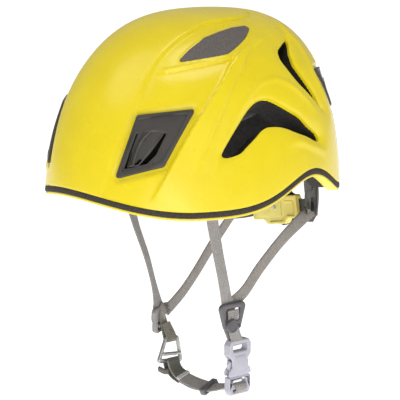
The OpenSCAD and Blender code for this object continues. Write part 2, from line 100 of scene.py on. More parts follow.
# ---------------------------------------------------------------- materials
class Look:
    """A Principled material with helpers for the textures that drive its colour, roughness and bump."""

    def __init__(self, name):
        self.mat = bpy.data.materials.new(name)
        self.mat.use_nodes = True
        self.tree = self.mat.node_tree
        self.shader = self.tree.nodes["Principled BSDF"]
        self.coord = self.tree.nodes.new("ShaderNodeTexCoord")

    def add(self, kind, **inputs):
        node = self.tree.nodes.new(kind)
        for key, value in inputs.items():
            node.inputs[key.replace("_", " ")].default_value = value
        return node

    def link(self, a, b):
        self.tree.links.new(a, b)

    def noise(self, scale, detail=3.0, rough=0.5, where="Object"):
        node = self.add("ShaderNodeTexNoise", Scale=scale, Detail=detail, Roughness=rough)
        self.link(self.coord.outputs[where], node.inputs["Vector"])
        return node.outputs["Fac"]

    def spots(self, scale, kind="F1"):
        node = self.add("ShaderNodeTexVoronoi", Scale=scale)
        node.feature = kind
        self.link(self.coord.outputs["Object"], node.inputs["Vector"])
        return node.outputs["Distance"]

    def wave(self, scale, direction, where="UV", distort=0.0):
        node = self.add("ShaderNodeTexWave", Scale=scale, Distortion=distort, Detail=1.0)
        node.bands_direction = direction
        self.link(self.coord.outputs[where], node.inputs["Vector"])
        return node.outputs["Fac"]

    def ramp(self, source, low, high, start=0.3, end=0.7):
        node = self.tree.nodes.new("ShaderNodeValToRGB")
        node.color_ramp.elements[0].position, node.color_ramp.elements[1].position = start, end
        node.color_ramp.elements[0].color = (*low, 1) if len(low) == 3 else (low[0], low[0], low[0], 1)
        node.color_ramp.elements[1].color = (*high, 1) if len(high) == 3 else (high[0], high[0], high[0], 1)
        self.link(source, node.inputs["Fac"])
        return node.outputs["Color"]

    def mix(self, a, b, factor, kind="MIX"):
        node = self.tree.nodes.new("ShaderNodeMix")
        node.data_type, node.blend_type = "RGBA", kind
        if isinstance(factor, float):
            node.inputs[0].default_value = factor
        else:
            self.link(factor, node.inputs[0])
        for socket, value in ((node.inputs[6], a), (node.inputs[7], b)):
            if isinstance(value, tuple):
                socket.default_value = (*value, 1)
            else:
                self.link(value, socket)
        return node.outputs[2]

    def edges(self):
        return self.add("ShaderNodeNewGeometry").outputs["Pointiness"]

    def bump(self, source, strength, distance, under=None):
        node = self.add("ShaderNodeBump", Strength=strength, Distance=distance)
        self.link(source, node.inputs["Height"])
        if under is not None:
            self.link(under, node.inputs["Normal"])
        return node.outputs["Normal"]

    def finish(self, colour, rough, normal):
        self.link(colour, self.shader.inputs["Base Color"])
        self.link(rough, self.shader.inputs["Roughness"])
        self.link(normal, self.shader.inputs["Normal"])
        return self.mat


def plastic(name, low, high, rough, grain=2500.0, depth=0.00004, coat=0.0, wear=0.25, blotch=0.07):
    look = Look(name)
    colour = look.ramp(look.noise(38.0), low, high)
    worn = look.ramp(look.edges(), (0.0,), (1.0,), 0.53, 0.62)
    pale = tuple(min(1.0, c * 1.25 + 0.02) for c in high)
    colour = look.mix(colour, look.mix(colour, pale, wear), worn)
    roughness = look.ramp(look.noise(140.0 if blotch > 0.03 else 22.0, 3.0), (rough - blotch,),
                          (rough + blotch,))
    normal = look.bump(look.noise(grain, 2.0), 0.5, depth)
    look.shader.inputs["Coat Weight"].default_value = coat
    look.shader.inputs["Coat Roughness"].default_value = 0.12
    return look.finish(colour, roughness, normal)


def foam_look(name, low, high, bead=420.0, rough=0.85):
    look = Look(name)
    beads = look.spots(bead)
    colour = look.mix(look.ramp(beads, high, low, 0.1, 0.75), look.ramp(look.noise(1500.0), low, high),
                      0.45)
    roughness = look.ramp(look.noise(300.0), (rough - 0.1,), (rough + 0.08,))
    normal = look.bump(look.noise(2200.0, 2.0), 0.6, 0.00025, look.bump(beads, 0.5, 0.0004))
    return look.finish(colour, roughness, normal)


def webbing(name, low, high):
    """Flat woven tape: raised warp ridges along it, a diagonal twill, and colour darker in the hollows
    between the threads.
    """
    look = Look(name)
    warp, twill, weft = look.wave(0.19, "X"), look.wave(0.24, "DIAGONAL"), look.wave(0.21, "Y", distort=0.4)
    threads = look.mix(look.mix(warp, twill, 0.55), weft, 0.35)
    colour = look.mix(look.ramp(threads, low, high, 0.25, 0.75), look.ramp(look.noise(70.0), low, high),
                      0.35)
    fleck = tuple(min(1.0, c * 1.25) for c in high)
    colour = look.mix(colour, look.ramp(look.noise(1250.0, 1.0), low, fleck, 0.38, 0.62), 0.5)
    roughness = look.ramp(threads, (0.9,), (0.66,))
    look.shader.inputs["Sheen Weight"].default_value = 0.35
    return look.finish(colour, roughness, look.bump(threads, 0.9, 0.0004))


def knit(name, low, high):
    look = Look(name)
    threads = look.mix(look.wave(0.75, "X", "Object", 0.0), look.spots(1500.0), 0.6)
    colour = look.mix(look.ramp(look.noise(900.0), low, high), look.ramp(look.noise(45.0), low, high), 0.5)
    roughness = look.ramp(look.noise(500.0), (0.8,), (0.98,))
    look.shader.inputs["Sheen Weight"].default_value = 0.6
    return look.finish(colour, roughness, look.bump(threads, 0.5, 0.0003))


def metal(name, colour_low, colour_high, rough):
    look = Look(name)
    look.shader.inputs["Metallic"].default_value = 0.85
    colour = look.ramp(look.noise(160.0), colour_low, colour_high)
    roughness = look.ramp(look.noise(700.0, 4.0), (rough - 0.08,), (rough + 0.12,))
    return look.finish(colour, roughness, look.bump(look.noise(1600.0), 0.25, 0.00005))


def make_looks():
    return {
        "shell": plastic("shell_yellow", (0.89, 0.70, 0.006), (0.93, 0.745, 0.010), 0.27, 2600.0, 0.000004,
                         0.1, 0.12, 0.02),
        # liner foam: near black, painted shade for the deep shadow inside the vents
        "foam": foam_look("foam_painted_shade", (0.006, 0.005, 0.004), (0.022, 0.018, 0.015)),
        "band": foam_look("foam_rim", (0.018, 0.014, 0.011), (0.085, 0.070, 0.058), 1100.0),
        "window": foam_look("foam_window", (0.10, 0.088, 0.078), (0.19, 0.17, 0.155), 700.0),
        "trim": plastic("trim_yellow", (0.88, 0.68, 0.03), (0.94, 0.76, 0.05), 0.4),
        "clip": plastic("clip_dark", (0.052, 0.047, 0.042), (0.072, 0.066, 0.059), 0.33, 3000.0, 0.00008),
        "dark": plastic("plastic_dark", (0.030, 0.028, 0.027), (0.055, 0.050, 0.048), 0.3, 3000.0, 0.00006),
        "hanger": plastic("hanger_brown", (0.050, 0.044, 0.040), (0.105, 0.095, 0.088), 0.28, 3000.0,
                          0.00006),
        "ring": plastic("ring_grey", (0.11, 0.105, 0.115), (0.16, 0.15, 0.165), 0.35, 3000.0, 0.00006),
        "slider": plastic("slider_grey", (0.24, 0.23, 0.23), (0.34, 0.325, 0.32), 0.35, 3000.0, 0.00006),
        "buckle": plastic("buckle_grey", (0.50, 0.49, 0.56), (0.60, 0.59, 0.66), 0.38, 3000.0, 0.00006),
        "housing": plastic("housing_yellow", (0.98, 0.80, 0.16), (1.0, 0.88, 0.25), 0.45, 3000.0, 0.00006),
        "triangle": metal("ring_metal", (0.36, 0.355, 0.34), (0.52, 0.51, 0.50), 0.30),
        "steel": metal("pin_steel", (0.45, 0.45, 0.46), (0.62, 0.62, 0.63), 0.3),
        "web": webbing("webbing_grey", (0.20, 0.185, 0.175), (0.43, 0.405, 0.39)),
        # darker copy of the grey webbing: painted shade for the strap legs running back
        "web_shade": webbing("webbing_rear_painted_shade", (0.17, 0.15, 0.135), (0.36, 0.325, 0.30)),
        "web_olive": webbing("webbing_olive", (0.115, 0.105, 0.075), (0.30, 0.28, 0.225)),
        "hem": webbing("webbing_hem", (0.45, 0.44, 0.43), (0.72, 0.70, 0.69)),
        # dark copy of the grey webbing: painted shade for strap layers lying in shadow
        "web_painted_shade": webbing("webbing_painted_shade", (0.060, 0.058, 0.045), (0.17, 0.165, 0.135)),
        "pad": knit("pad_knit", (0.022, 0.022, 0.024), (0.055, 0.055, 0.060)),
    }


# ---------------------------------------------------------------- mesh helpers
def put(name, shape, look, body, replaces=(), smooth=40.0):
    """A mesh object from a shape (points in millimetres, faces, and perhaps UVs), riding on its body."""
    points, faces, *uvs = shape
    mesh = bpy.data.meshes.new(name)
    mesh.from_pydata([tuple(p) for p in np.asarray(points, float) * MM], [],
                     [tuple(int(i) for i in f) for f in faces])
    if uvs:
        layer = mesh.uv_layers.new(name="weave")
        index = np.empty(len(mesh.loops), np.int32)
        mesh.loops.foreach_get("vertex_index", index)
        layer.data.foreach_set("uv", np.asarray(uvs[0], np.float32)[index].ravel())
    obj = bpy.data.objects.new(name, mesh)
    bpy.context.scene.collection.objects.link(obj)
    tidy_mesh(obj, smooth)
    mesh.materials.append(look)
    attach(obj, body)
    if replaces:
        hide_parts(*replaces)
    return obj


def tidy_mesh(obj, smooth):
    work = bmesh.new()
    work.from_mesh(obj.data)
    bmesh.ops.recalc_face_normals(work, faces=work.faces)
    for f in work.faces:
        f.smooth = True
    for e in work.edges:
        e.smooth = len(e.link_faces) == 2 and e.calc_face_angle(0) < math.radians(smooth)
    work.to_mesh(obj.data)
    work.free()


def rounded(corners, radius, steps=6):
    """An outline with its corners rounded. radius is one number, or one for each corner."""
    pts = np.asarray(corners, float)
    radii = [radius] * len(pts) if np.isscalar(radius) else radius
    out = []
    for i, p in enumerate(pts):
        a, b = pts[i - 1] - p, pts[(i + 1) % len(pts)] - p
        la, lb = np.linalg.norm(a), np.linalg.norm(b)
        a, b = a / la, b / lb
        half = math.acos(max(-1, min(1, float(a @ b)))) / 2
        cut = min(radii[i] / max(math.tan(half), 1e-3), la * 0.49, lb * 0.49)
        for t in np.linspace(0, 1, steps):
            out.append((1 - t) ** 2 * (p + a * cut) + 2 * t * (1 - t) * p + t * t * (p + b * cut))
    return np.array(out)


def circle(x, y, r, count=28):
    t = np.linspace(0, 2 * np.pi, count, endpoint=False)
    return np.stack([x + r * np.cos(t), y + r * np.sin(t)], -1)


def wrap(circles, count=24):
    """The outline of a band stretched round circles given as (x, y, radius)."""
    pts = np.concatenate([circle(x, y, r, count) for x, y, r in circles])
    pts = pts[np.lexsort((pts[:, 1], pts[:, 0]))]
    halves = []
    for seq in (pts, pts[::-1]):
        chain = []
        for p in seq:
            while len(chain) > 1:
                a, b = chain[-1] - chain[-2], p - chain[-2]
                if a[0] * b[1] - a[1] * b[0] > 1e-9:
                    break
                chain.pop()
            chain.append(p)
        halves += chain[:-1]
    return np.array(halves)


def clean_ring(ring, way):
    """An outline without doubled points, turning anticlockwise (way 1) or clockwise (way -1)."""
    ring = np.asarray(ring, float)
    kept = [ring[0]]
    for p in ring[1:]:
        if np.linalg.norm(p - kept[-1]) > 0.09:
            kept.append(p)
    if np.linalg.norm(kept[0] - kept[-1]) < 0.09:
        kept.pop()
    ring = np.array(kept)
    nxt = np.roll(ring, -1, axis=0)
    area = (ring[:, 0] * nxt[:, 1] - nxt[:, 0] * ring[:, 1]).sum()
    return ring if area * way > 0 else ring[::-1]


def inset(ring, amount):
    """A ring moved towards the material, which lies on its left."""
    before, after = ring - np.roll(ring, 1, axis=0), np.roll(ring, -1, axis=0) - ring
    before /= np.linalg.norm(before, axis=1)[:, None]
    after /= np.linalg.norm(after, axis=1)[:, None]
    a, b = np.stack([-before[:, 1], before[:, 0]], -1), np.stack([-after[:, 1], after[:, 0]], -1)
    way = (a + b) / np.maximum(1 + (a * b).sum(1), 0.35)[:, None]
    return ring + way * amount


def within(points, rings):
    """Which points lie in the material, by counting crossings."""
    hit = np.zeros(len(points), bool)
    for ring in rings:
        for (x0, y0), (x1, y1) in zip(ring, np.roll(ring, -1, axis=0)):
            if y0 != y1:
                crossing = (x1 - x0) * (points[:, 1] - y0) / (y1 - y0) + x0
                hit ^= ((y0 > points[:, 1]) != (y1 > points[:, 1])) & (points[:, 0] < crossing)
    return hit


def slab(outline, holes=(), thick=2.0, bevel=0.5, longest=0.0):
    """Points and faces of a flat plate with rounded edges: X and Y in its plane, Z through it."""
    rings = [clean_ring(outline, 1), *[clean_ring(h, -1) for h in holes]]
    turn = np.radians([0, 30, 60, 90])
    levels = [(bevel * (1 - math.cos(t)), thick / 2 - bevel * (1 - math.sin(t))) for t in turn]
    levels = [(o, -z) for o, z in reversed(levels)] + levels
    points, faces, caps = [], [], []
    for ring in rings:
        n, start = len(ring), sum(len(p) for p in points)
        for o, z in levels:
            points.append(np.column_stack([inset(ring, o), np.full(n, z)]))
        for k in range(len(levels) - 1):
            for i in range(n):
                j = (i + 1) % n
                faces.append((start + k * n + i, start + k * n + j, start + (k + 1) * n + j,
                              start + (k + 1) * n + i))
        caps.append((start, start + (len(levels) - 1) * n, n))
    points = np.concatenate(points)
    tops = [points[top:top + n, :2] for _, top, n in caps]
    extra = np.zeros((0, 2))
    if longest:
        low, high = tops[0].min(0), tops[0].max(0)
        grid = np.stack(np.meshgrid(np.arange(low[0], high[0], longest),
                                    np.arange(low[1], high[1], longest)), -1).reshape(-1, 2)
        grid = grid[within(grid, tops)]
        near = np.min([np.linalg.norm(grid[:, None] - t[None], axis=2).min(1) for t in tops],
                      axis=0) if len(grid) else np.zeros(0)
        extra = grid[near > longest * 0.55]
    for side, z in ((0, -thick / 2), (1, thick / 2)):
        index = np.concatenate([np.arange(c[side], c[side] + c[2]) for c in caps] + [np.arange(len(points),
            len(points) + len(extra))])
        flat = points[index[:len(index) - len(extra)], :2]
        flat = np.concatenate([flat, extra])
        points = np.concatenate([points, np.column_stack([extra, np.full(len(extra), z)])])
        edges, at = [], 0
        for _, _, n in caps:
            edges += [(at + i, at + (i + 1) % n) for i in range(n)]
            at += n
        verts, _, tris, origin, _, _ = delaunay_2d_cdt([Vector(p) for p in flat], edges, [], 0, 1e-6)
        middle = np.array([np.mean([verts[i][:] for i in t], axis=0) for t in tris])
        keep = within(middle, tops)
        for t, k in zip(tris, keep):
            if k and all(origin[i] for i in t):
                face = tuple(int(index[origin[i][0]]) for i in t)
                if len(set(face)) == 3:
                    faces.append(face)
    return points, faces


def place(points, origin, ax, ay, az):
    """Plate coordinates to the row frame."""
    p = np.asarray(points, float)
    return np.asarray(origin, float) + p[:, :1] * np.asarray(ax) + p[:, 1:2] * np.asarray(ay) + p[:,
        2:3] * np.asarray(az)


def curve_through(points, step=1.6, closed=False):
    """A smooth curve through points, resampled evenly. Every column is carried along."""
    p = np.asarray(points, float)
    p = np.concatenate([p[-1:], p, p[:2]]) if closed else np.concatenate([2 * p[:1] - p[1:2], p,
        2 * p[-1:] - p[-2:-1]])
    out = []
    for a, b, c, d in zip(p[:-3], p[1:-2], p[2:-1], p[3:]):
        t = np.linspace(0, 1, 24, endpoint=False)[:, None]
        out.append(0.5 * (2 * b + (c - a) * t + (2 * a - 5 * b + 4 * c - d) * t**2
                          + (3 * b - a - 3 * c + d) * t**3))
    out = np.concatenate(out + [p[-2:-1]])
    along = np.concatenate([[0], np.cumsum(np.linalg.norm(np.diff(out[:, :3], axis=0), axis=1))])
    even = np.linspace(0, along[-1], max(4, int(round(along[-1] / step)) + 1))
    return np.stack([np.interp(even, along, out[:, i]) for i in range(out.shape[1])], -1), even


def quads(rows, cols, closed=False):
    """Faces between rows of cols points, each row a ring. closed joins the last row to the first."""
    return [(r * cols + c, r * cols + (c + 1) % cols, (r + 1) % rows * cols + (c + 1) % cols,
             (r + 1) % rows * cols + c)
            for r in range(rows if closed else rows - 1) for c in range(cols)]


def unit(v):
    return v / np.linalg.norm(v, axis=-1)[..., None]


def tape(points, wide=12.2, thick=1.6, step=0.8, serrate=0.14):
    """Flat webbing along points (x, y, z, and the direction across it). Its woven edge is finely toothed."""
    path, along = curve_through(points, step)
    centre, across = path[:, :3], path[:, 3:6]
    tangent = unit(np.gradient(centre, axis=0))
    across = unit(across - (across * tangent).sum(1)[:, None] * tangent)
    out = np.cross(tangent, across)
    section = [(-1, 0.2), (-0.96, 0.75), (-0.85, 1), (-0.4, 1.06), (0.4, 1.06), (0.85, 1), (0.96, 0.75),
               (1, 0.2)]
    section += [(a, -b) for a, b in reversed(section)]
    section = np.array(section)
    tooth = 1 + serrate * np.sin(2 * np.pi * along / 1.6) / (wide / 2)
    half = (wide / 2 * tooth)[:, None, None]
    flat, rise = section[None, :, :1] * half * across[:, None], section[None, :, 1:] * thick / 2 * out[:,
        None]
    pts = centre[:, None] + flat + rise
    rows, cols = len(centre), len(section)
    faces = quads(rows, cols) + [tuple(range(cols)), tuple(range((rows - 1) * cols, rows * cols))]
    uvs = np.stack([np.tile(section[:, 0] * wide / 2, (rows, 1)), np.tile(along[:, None], (1, cols))],
                   -1).reshape(-1, 2)
    return pts.reshape(-1, 3), faces, uvs


def join(*parts):
    """Several (points, faces) as one."""
    points, faces, start = [], [], 0
    for p, f in parts:
        points.append(np.asarray(p, float))
        faces += [[i + start for i in face] for face in f]
        start += len(p)
    return np.concatenate(points), faces


def mirrored(points):
    return np.asarray(points, float) * np.array([-1, 1, 1])


# ---------------------------------------------------------------- the dome
# The shell's half width, half length and height in millimetres, how square its dome is, and the
# depths of the shell's inner face and of the foam's outer and inner faces.
HALF_WIDE, HALF_LONG, HIGH, SQUARE = 113, 138, 164.5, 0.675
SHELL_IN, FOAM_OUT, FOAM_IN = 2.2, 2.65, 24.65
# Millimetres over the dome in one degree round it, and in one degree up it.
SIDE_MM, UP_MM = 2.18, 2.6


def dome(side, up, deep):
    """The point on the dome side degrees round from the front and up degrees high, deep mm inside it."""
    s, u = np.radians(side), np.radians(up)
    k = np.abs(np.cos(u)) ** SQUARE
    return np.stack([(HALF_WIDE - deep) * k * np.sin(s),
                     13 * np.maximum(np.sin(u), 0) ** 2 - (HALF_LONG - deep) * k * np.cos(s),
                     (HIGH - deep) * np.sin(u)], -1)


def crown_point(deep):
    return dome(np.array(0.0), np.array(90.0), np.array([deep]))[0]


def rim_z(side):
    """Height of the shell's rim, which dips at the front and rises in an arch behind each ear."""
    s = np.abs((np.asarray(side, float) + 180) % 360 - 180)
    front = 6.95 * np.cos(np.radians(np.minimum(s, 57) * 180 / 57))
    back = -0.8 * (1 - np.cos(np.radians(np.maximum(s - 57, 0) * 180 / 123)))
    return 18.55 + front + back + 25 * np.exp(-((s - 107.5) / 20) ** 2)


def climb(z, deep):
    """The angle up the dome at which it is z high."""
    return np.degrees(np.arcsin(z / (HIGH - deep)))


ARC_UP = np.linspace(-20, 90, 2200)
ARC = np.concatenate([[0], np.cumsum(np.hypot(np.diff(125 * np.cos(np.radians(ARC_UP)) ** SQUARE),
                                              np.diff(HIGH * np.sin(np.radians(ARC_UP)))))])

# Edges and creases of the shell on its left side, as (side, up) in degrees. The right side mirrors them.
SIDE_VENT = [(65.5, 21), (69, 25.5), (72, 29), (77, 34), (82, 36.8), (87, 37), (92, 35.2), (98, 32.4),
             (104, 29.6),
             (109, 26), (114, 23.2), (115.6, 21.2), (113.4, 20.4), (107, 22.7), (101, 24.5), (93, 27),
             (86.6, 27.7),
             (83, 27), (80, 25), (76, 22.4), (73, 20.5), (68.5, 19.5), (66, 19.7)]
REAR_VENT = [(120, 60), (114, 59), (109, 57.6), (103.6, 55.5), (102, 51.5), (104, 47), (108, 41.6),
             (114, 36.7),
             (119, 33), (123.6, 29.6), (121.6, 32), (119.4, 36), (115.4, 41), (112, 46), (111, 49),
             (113, 54), (118, 58)]
WINDOW = [(43, 52.5), (48, 58), (56, 64.2), (66, 67.4), (76, 69.6), (88, 70.3), (90.4, 68.4), (82, 62.6),
          (73, 57.4),
          (69, 55.4), (56, 54)]
CLIP = [(43.4, 17.3), (24.2, 13.4), (29.6, 32.8), (54.2, 34.9)]
CLIP_GAP = [(43.6, 27.9), (40.2, 20.6), (36.9, 17.7), (26.8, 15.8), (30.4, 27.7)]
BAND_EDGE = [(150, 83), (128, 80), (90, 77), (58, 74), (44, 67), (37, 61), (32, 53), (30.5, 48), (28, 36),
             (23, 24), (19, 11)]
SILL = [(31.5, 48), (44, 50), (59, 52.2), (73, 54.6)]
DIAGONAL = [(98, 66), (84, 60), (72, 53), (64, 43), (57, 34), (50, 24), (45, 16), (39, 7)]
SECOND = [(118, 66), (100, 62), (84, 57), (77, 50), (71, 43), (65, 33), (60, 24), (55, 14)]
ARCH = [(62, 14), (66, 24), (70, 30), (75, 36), (83, 42), (92, 43.4), (100, 41), (108, 36), (117, 29)]
REAR_FOLD = [(140, 72), (128, 64), (126, 52), (124, 42), (129, 32), (134, 24)]
LOWER_FOLD = [(92, 21), (100, 22), (109, 19.5), (120, 16)]


def loop_path(points):
    """A closed outline in (side, up), finely sampled: curved through many points, straight between few."""
    pts = np.asarray(points, float)
    if len(pts) > 12:
        return curve_through([(s, u, 0) for s, u in pts], 0.5, True)[0][:-1, :2]
    ring = rounded(pts, 1.1, 7)
    out = []
    for a, b in zip(ring, np.roll(ring, -1, axis=0)):
        out.append(a + (b - a) * np.linspace(0, 1, max(2, int(np.linalg.norm(b - a) / 0.5) + 1),
                                             endpoint=False)[:, None])
    return np.concatenate(out)


class Surface:
    """Where the shell's surface stands off the plain dome, in millimetres, at (side, up)."""

    def __init__(self):
        self.lines = {}

    def line(self, name, pts, closed=False):
        if name not in self.lines:
            path = loop_path(pts) if closed else curve_through([(s, u, 0) for s, u in pts], 0.5)[0][:, :2]
            self.lines[name] = (path, dome(path[:, 0], path[:, 1], 0), np.gradient(path, axis=0))
        return self.lines[name]

    def measure(self, name, pts, side, up, xyz, closed=False):
        """Distance to a line in millimetres, above it positive, and how far along it, 0 to 1."""
        path, line_xyz, way = self.line(name, pts, closed)
        near = np.empty(len(xyz), int)
        for a in range(0, len(xyz), 4000):
            gap = ((xyz[a:a + 4000, None] - line_xyz[None]) ** 2).sum(-1)
            near[a:a + 4000] = gap.argmin(1)
        dist = np.linalg.norm(xyz - line_xyz[near], axis=1)
        east = (side - path[near, 0]) * SIDE_MM * np.cos(np.radians(up)) ** SQUARE
        north = (up - path[near, 1]) * UP_MM
        way_e = way[near, 0] * SIDE_MM * np.cos(np.radians(up)) ** SQUARE
        way_n = way[near, 1] * UP_MM
        turn = way_e * north - way_n * east
        return dist * np.sign(turn), near / max(1, len(path) - 1)

    def inside(self, pts, side, up):
        path = loop_path(pts)
        hit = np.zeros(len(side), bool)
        for (x0, y0), (x1, y1) in zip(path, np.roll(path, -1, axis=0)):
            cross = ((y0 > up) != (y1 > up)) & (side < (x1 - x0) * (up - y0) / (y1 - y0 + 1e-12) + x0)
            hit ^= cross
        return hit

    def depth_in(self, name, pts, side, up, xyz):
        """Distance to a closed outline, negative inside it."""
        dist = np.abs(self.measure(name, pts, side, up, xyz, True)[0])
        return np.where(self.inside(pts, side, up), -dist, dist)

    def height(self, side, up):
        side, up = np.abs(np.ravel(side).astype(float)), np.ravel(up).astype(float)
        xyz = dome(side, up, 0)

        def step(d, w):
            return 0.5 * (1 + np.tanh(d / w))

        def ends(t, a=0.1, b=0.1):
            return np.clip(t / a, 0, 1) * np.clip((1 - t) / b, 0, 1)

        h = np.zeros(len(side))
        d, t = self.measure("band", BAND_EDGE, side, up, xyz)
        strength = np.interp(t, [0, 0.12, 0.3, 0.5, 0.66, 0.8, 0.92, 1],
                             [0, 1.8, 3.1, 3.4, 3.2, 2.0, 1.2, 0.7])
        h -= strength * step(d, 0.9) * np.exp(-np.maximum(d, 0) / 30)
        d, t = self.measure("sill", SILL, side, up, xyz)
        h += ends(t, 0.2, 0.1) * (1.3 * np.exp(-(d / 1.7) ** 2) - 2.8 * step(-d - 1.6,
            1.0) * np.exp(-np.maximum(-d, 0) / 10))
        d, t = self.measure("diagonal", DIAGONAL, side, up, xyz)
        h += ends(t, 0.35, 0.06) * 3.5 * step(d, 0.8) * np.exp(-np.maximum(d, 0) / 12)
        d, t = self.measure("second", SECOND, side, up, xyz)
        h -= ends(t, 0.3, 0.2) * 2.5 * step(d, 1.0) * np.exp(-np.maximum(d, 0) / 13)
        vent = self.depth_in("vent", SIDE_VENT, side, up, xyz)
        d, t = self.measure("arch", ARCH, side, up, xyz)
        h += ends(t, 0.12, 0.18) * 1.3 * np.exp(-(d / 2.6) ** 2)
        h -= 2.5 * np.exp(-np.maximum(vent, 0) / 7.0) + 0.7 * np.exp(-(vent / 1.1) ** 2)
        d, t = self.measure("lower", LOWER_FOLD, side, up, xyz)
        h += ends(t, 0.3, 0.3) * 1.5 * np.exp(-(d / 4) ** 2)
        rear = self.depth_in("rear", REAR_VENT, side, up, xyz)
        h -= 2.0 * np.exp(-np.maximum(rear, 0) / 5.0) + 0.7 * np.exp(-(rear / 1.1) ** 2)
        d, t = self.measure("rear_fold", REAR_FOLD, side, up, xyz)
        h += ends(t, 0.2, 0.2) * 1.5 * np.exp(-(d / 4) ** 2)
        pane = self.depth_in("window", WINDOW, side, up, xyz)
        h += 0.9 * np.exp(-((pane - 1.3) / 1.0) ** 2) - 0.6 * np.exp(-np.maximum(pane, 0) / 6)
        for outline in (CLIP, rear_clip(CLIP)):
            clip = self.depth_in("clip%d" % outline[0][0], outline, side, up, xyz)
            h -= 1.4 * step(3.6 - clip, 0.8)
        return h


def rear_clip(points):
    """The front clip's outline, moved to where the rear one sits."""
    return [(144 - (s - 38) * 0.9, 35 + (u - 24) * 0.85) for s, u in points]


def around(count):
    """Angles round the dome, twice as close at the sides, where the shell's detail is."""
    t = np.linspace(-180, 180, 2881)
    weight = np.where((np.abs(t) > 17) & (np.abs(t) < 136), 2.0, 1.0)
    total = np.concatenate([[0], np.cumsum((weight[1:] + weight[:-1]) / 2)])
    return np.interp(np.linspace(0, total[-1], count, endpoint=False), total, t)


surface = Surface()


# ---------------------------------------------------------------- shell, foam and trim
def shell_sheet(deep, rows, cols, low_up, keep=1.0):
    """A sheet of points over the dome, from the crown down to low_up(side)."""
    side = around(cols)
    low = np.interp(low_up(side), ARC_UP, ARC)
    t = np.linspace(0, 1, rows)[1:, None]
    up = np.interp(ARC[-1] + (low[None] - ARC[-1]) * t, ARC, ARC_UP)
    side = np.broadcast_to(side, up.shape)
    flat = dome(side, up, 0.0)
    tilt = np.cross(dome(side, up + 0.2, 0.0) - dome(side, up - 0.2, 0.0),
                    dome(side + 0.2, up, 0.0) - dome(side - 0.2, up, 0.0))
    tilt /= np.linalg.norm(tilt, axis=-1)[..., None] + 1e-12
    tilt *= np.sign((tilt * flat).sum(-1))[..., None]
    h = surface.height(side, up).reshape(up.shape) * keep
    return dome(side, up, deep) + tilt * h[..., None]


def closed_skin(outer, lip, inner, crown_out, crown_in):
    """Faces over outer rows, lip rows and inner rows (from the rim up), with a point at each crown."""
    rows = np.concatenate([outer, lip, inner[::-1]])
    count, cols = rows.shape[:2]
    points = np.concatenate([rows.reshape(-1, 3), [crown_out, crown_in]])
    r, c = np.meshgrid(np.arange(count - 1), np.arange(cols), indexing="ij")
    n = (c + 1) % cols
    faces = np.stack([r * cols + c, r * cols + n, (r + 1) * cols + n, (r + 1) * cols + c], -1).reshape(-1,
        4).tolist()
    last = count * cols
    for i in range(cols):
        j = (i + 1) % cols
        faces.append([last, j, i])
        faces.append([last + 1, (count - 1) * cols + i, (count - 1) * cols + j])
    return points, faces


def plug_through(outline, deep_out, deep_in, grow=0.0):
    """A closed plug through the dome on an outline, for cutting a hole on both sides."""
    path = loop_path(outline)
    path = grown(path, 1 + grow)
    rings = [dome(path[:, 0], path[:, 1], d) for d in np.linspace(deep_out, deep_in, 5)]
    n = len(path)
    points = np.concatenate(rings)
    faces = [(r * n + i, r * n + (i + 1) % n, (r + 1) * n + (i + 1) % n,
              (r + 1) * n + i) for r in range(4) for i in range(n)]
    faces += [tuple(range(n)), tuple(range(4 * n, 5 * n))]
    return join((points, faces), (mirrored(points), [f[::-1] for f in faces]))


def grown(path, share):
    middle = path.mean(0)
    return middle + (path - middle) * share


def cut(obj, *plugs):
    points, faces = join(*plugs)
    mesh = bpy.data.meshes.new("cutter")
    mesh.from_pydata([tuple(p) for p in points * MM], [], faces)
    cutter = bpy.data.objects.new("cutter", mesh)
    bpy.context.scene.collection.objects.link(cutter)
    tidy_mesh(cutter, 30)
    mod = obj.modifiers.new("cut", "BOOLEAN")
    mod.operation, mod.object, mod.solver = "DIFFERENCE", cutter, "EXACT"
    bpy.context.view_layer.update()
    done = bpy.data.meshes.new_from_object(obj.evaluated_get(bpy.context.evaluated_depsgraph_get()))
    obj.modifiers.clear()
    old = obj.data
    obj.data = done
    bpy.data.meshes.remove(old)
    bpy.data.objects.remove(cutter)
    bpy.data.meshes.remove(mesh)


def make_shell(looks):
    rows, cols = ((170, 560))
    outer = shell_sheet(0.0, rows, cols, lambda s: climb(rim_z(s) + 0.7, 0))
    inner = shell_sheet(SHELL_IN, rows // 2, cols, lambda s: climb(rim_z(s) + 0.7, SHELL_IN))
    side = around(cols)
    lip = np.stack([dome(side, climb(rim_z(side) + z, d), d) for d,
                    z in ((0.15, 0.3), (0.5, 0.05), (1.1, 0.0), (1.8, 0.1), (2.1, 0.35))])
    crown = crown_point(0.0), crown_point(SHELL_IN)
    shell = put("shell", closed_skin(outer, lip, inner, *crown), looks["shell"], "helmet",
                ["outer_shell"], 60)
    gaps = [CLIP_GAP, rear_clip(CLIP_GAP)]
    cut(shell, *[plug_through(o, -9, 9) for o in (SIDE_VENT, REAR_VENT, WINDOW)],
        *[plug_through(o, -9, 9) for o in gaps])
    tidy_mesh(shell, 38)


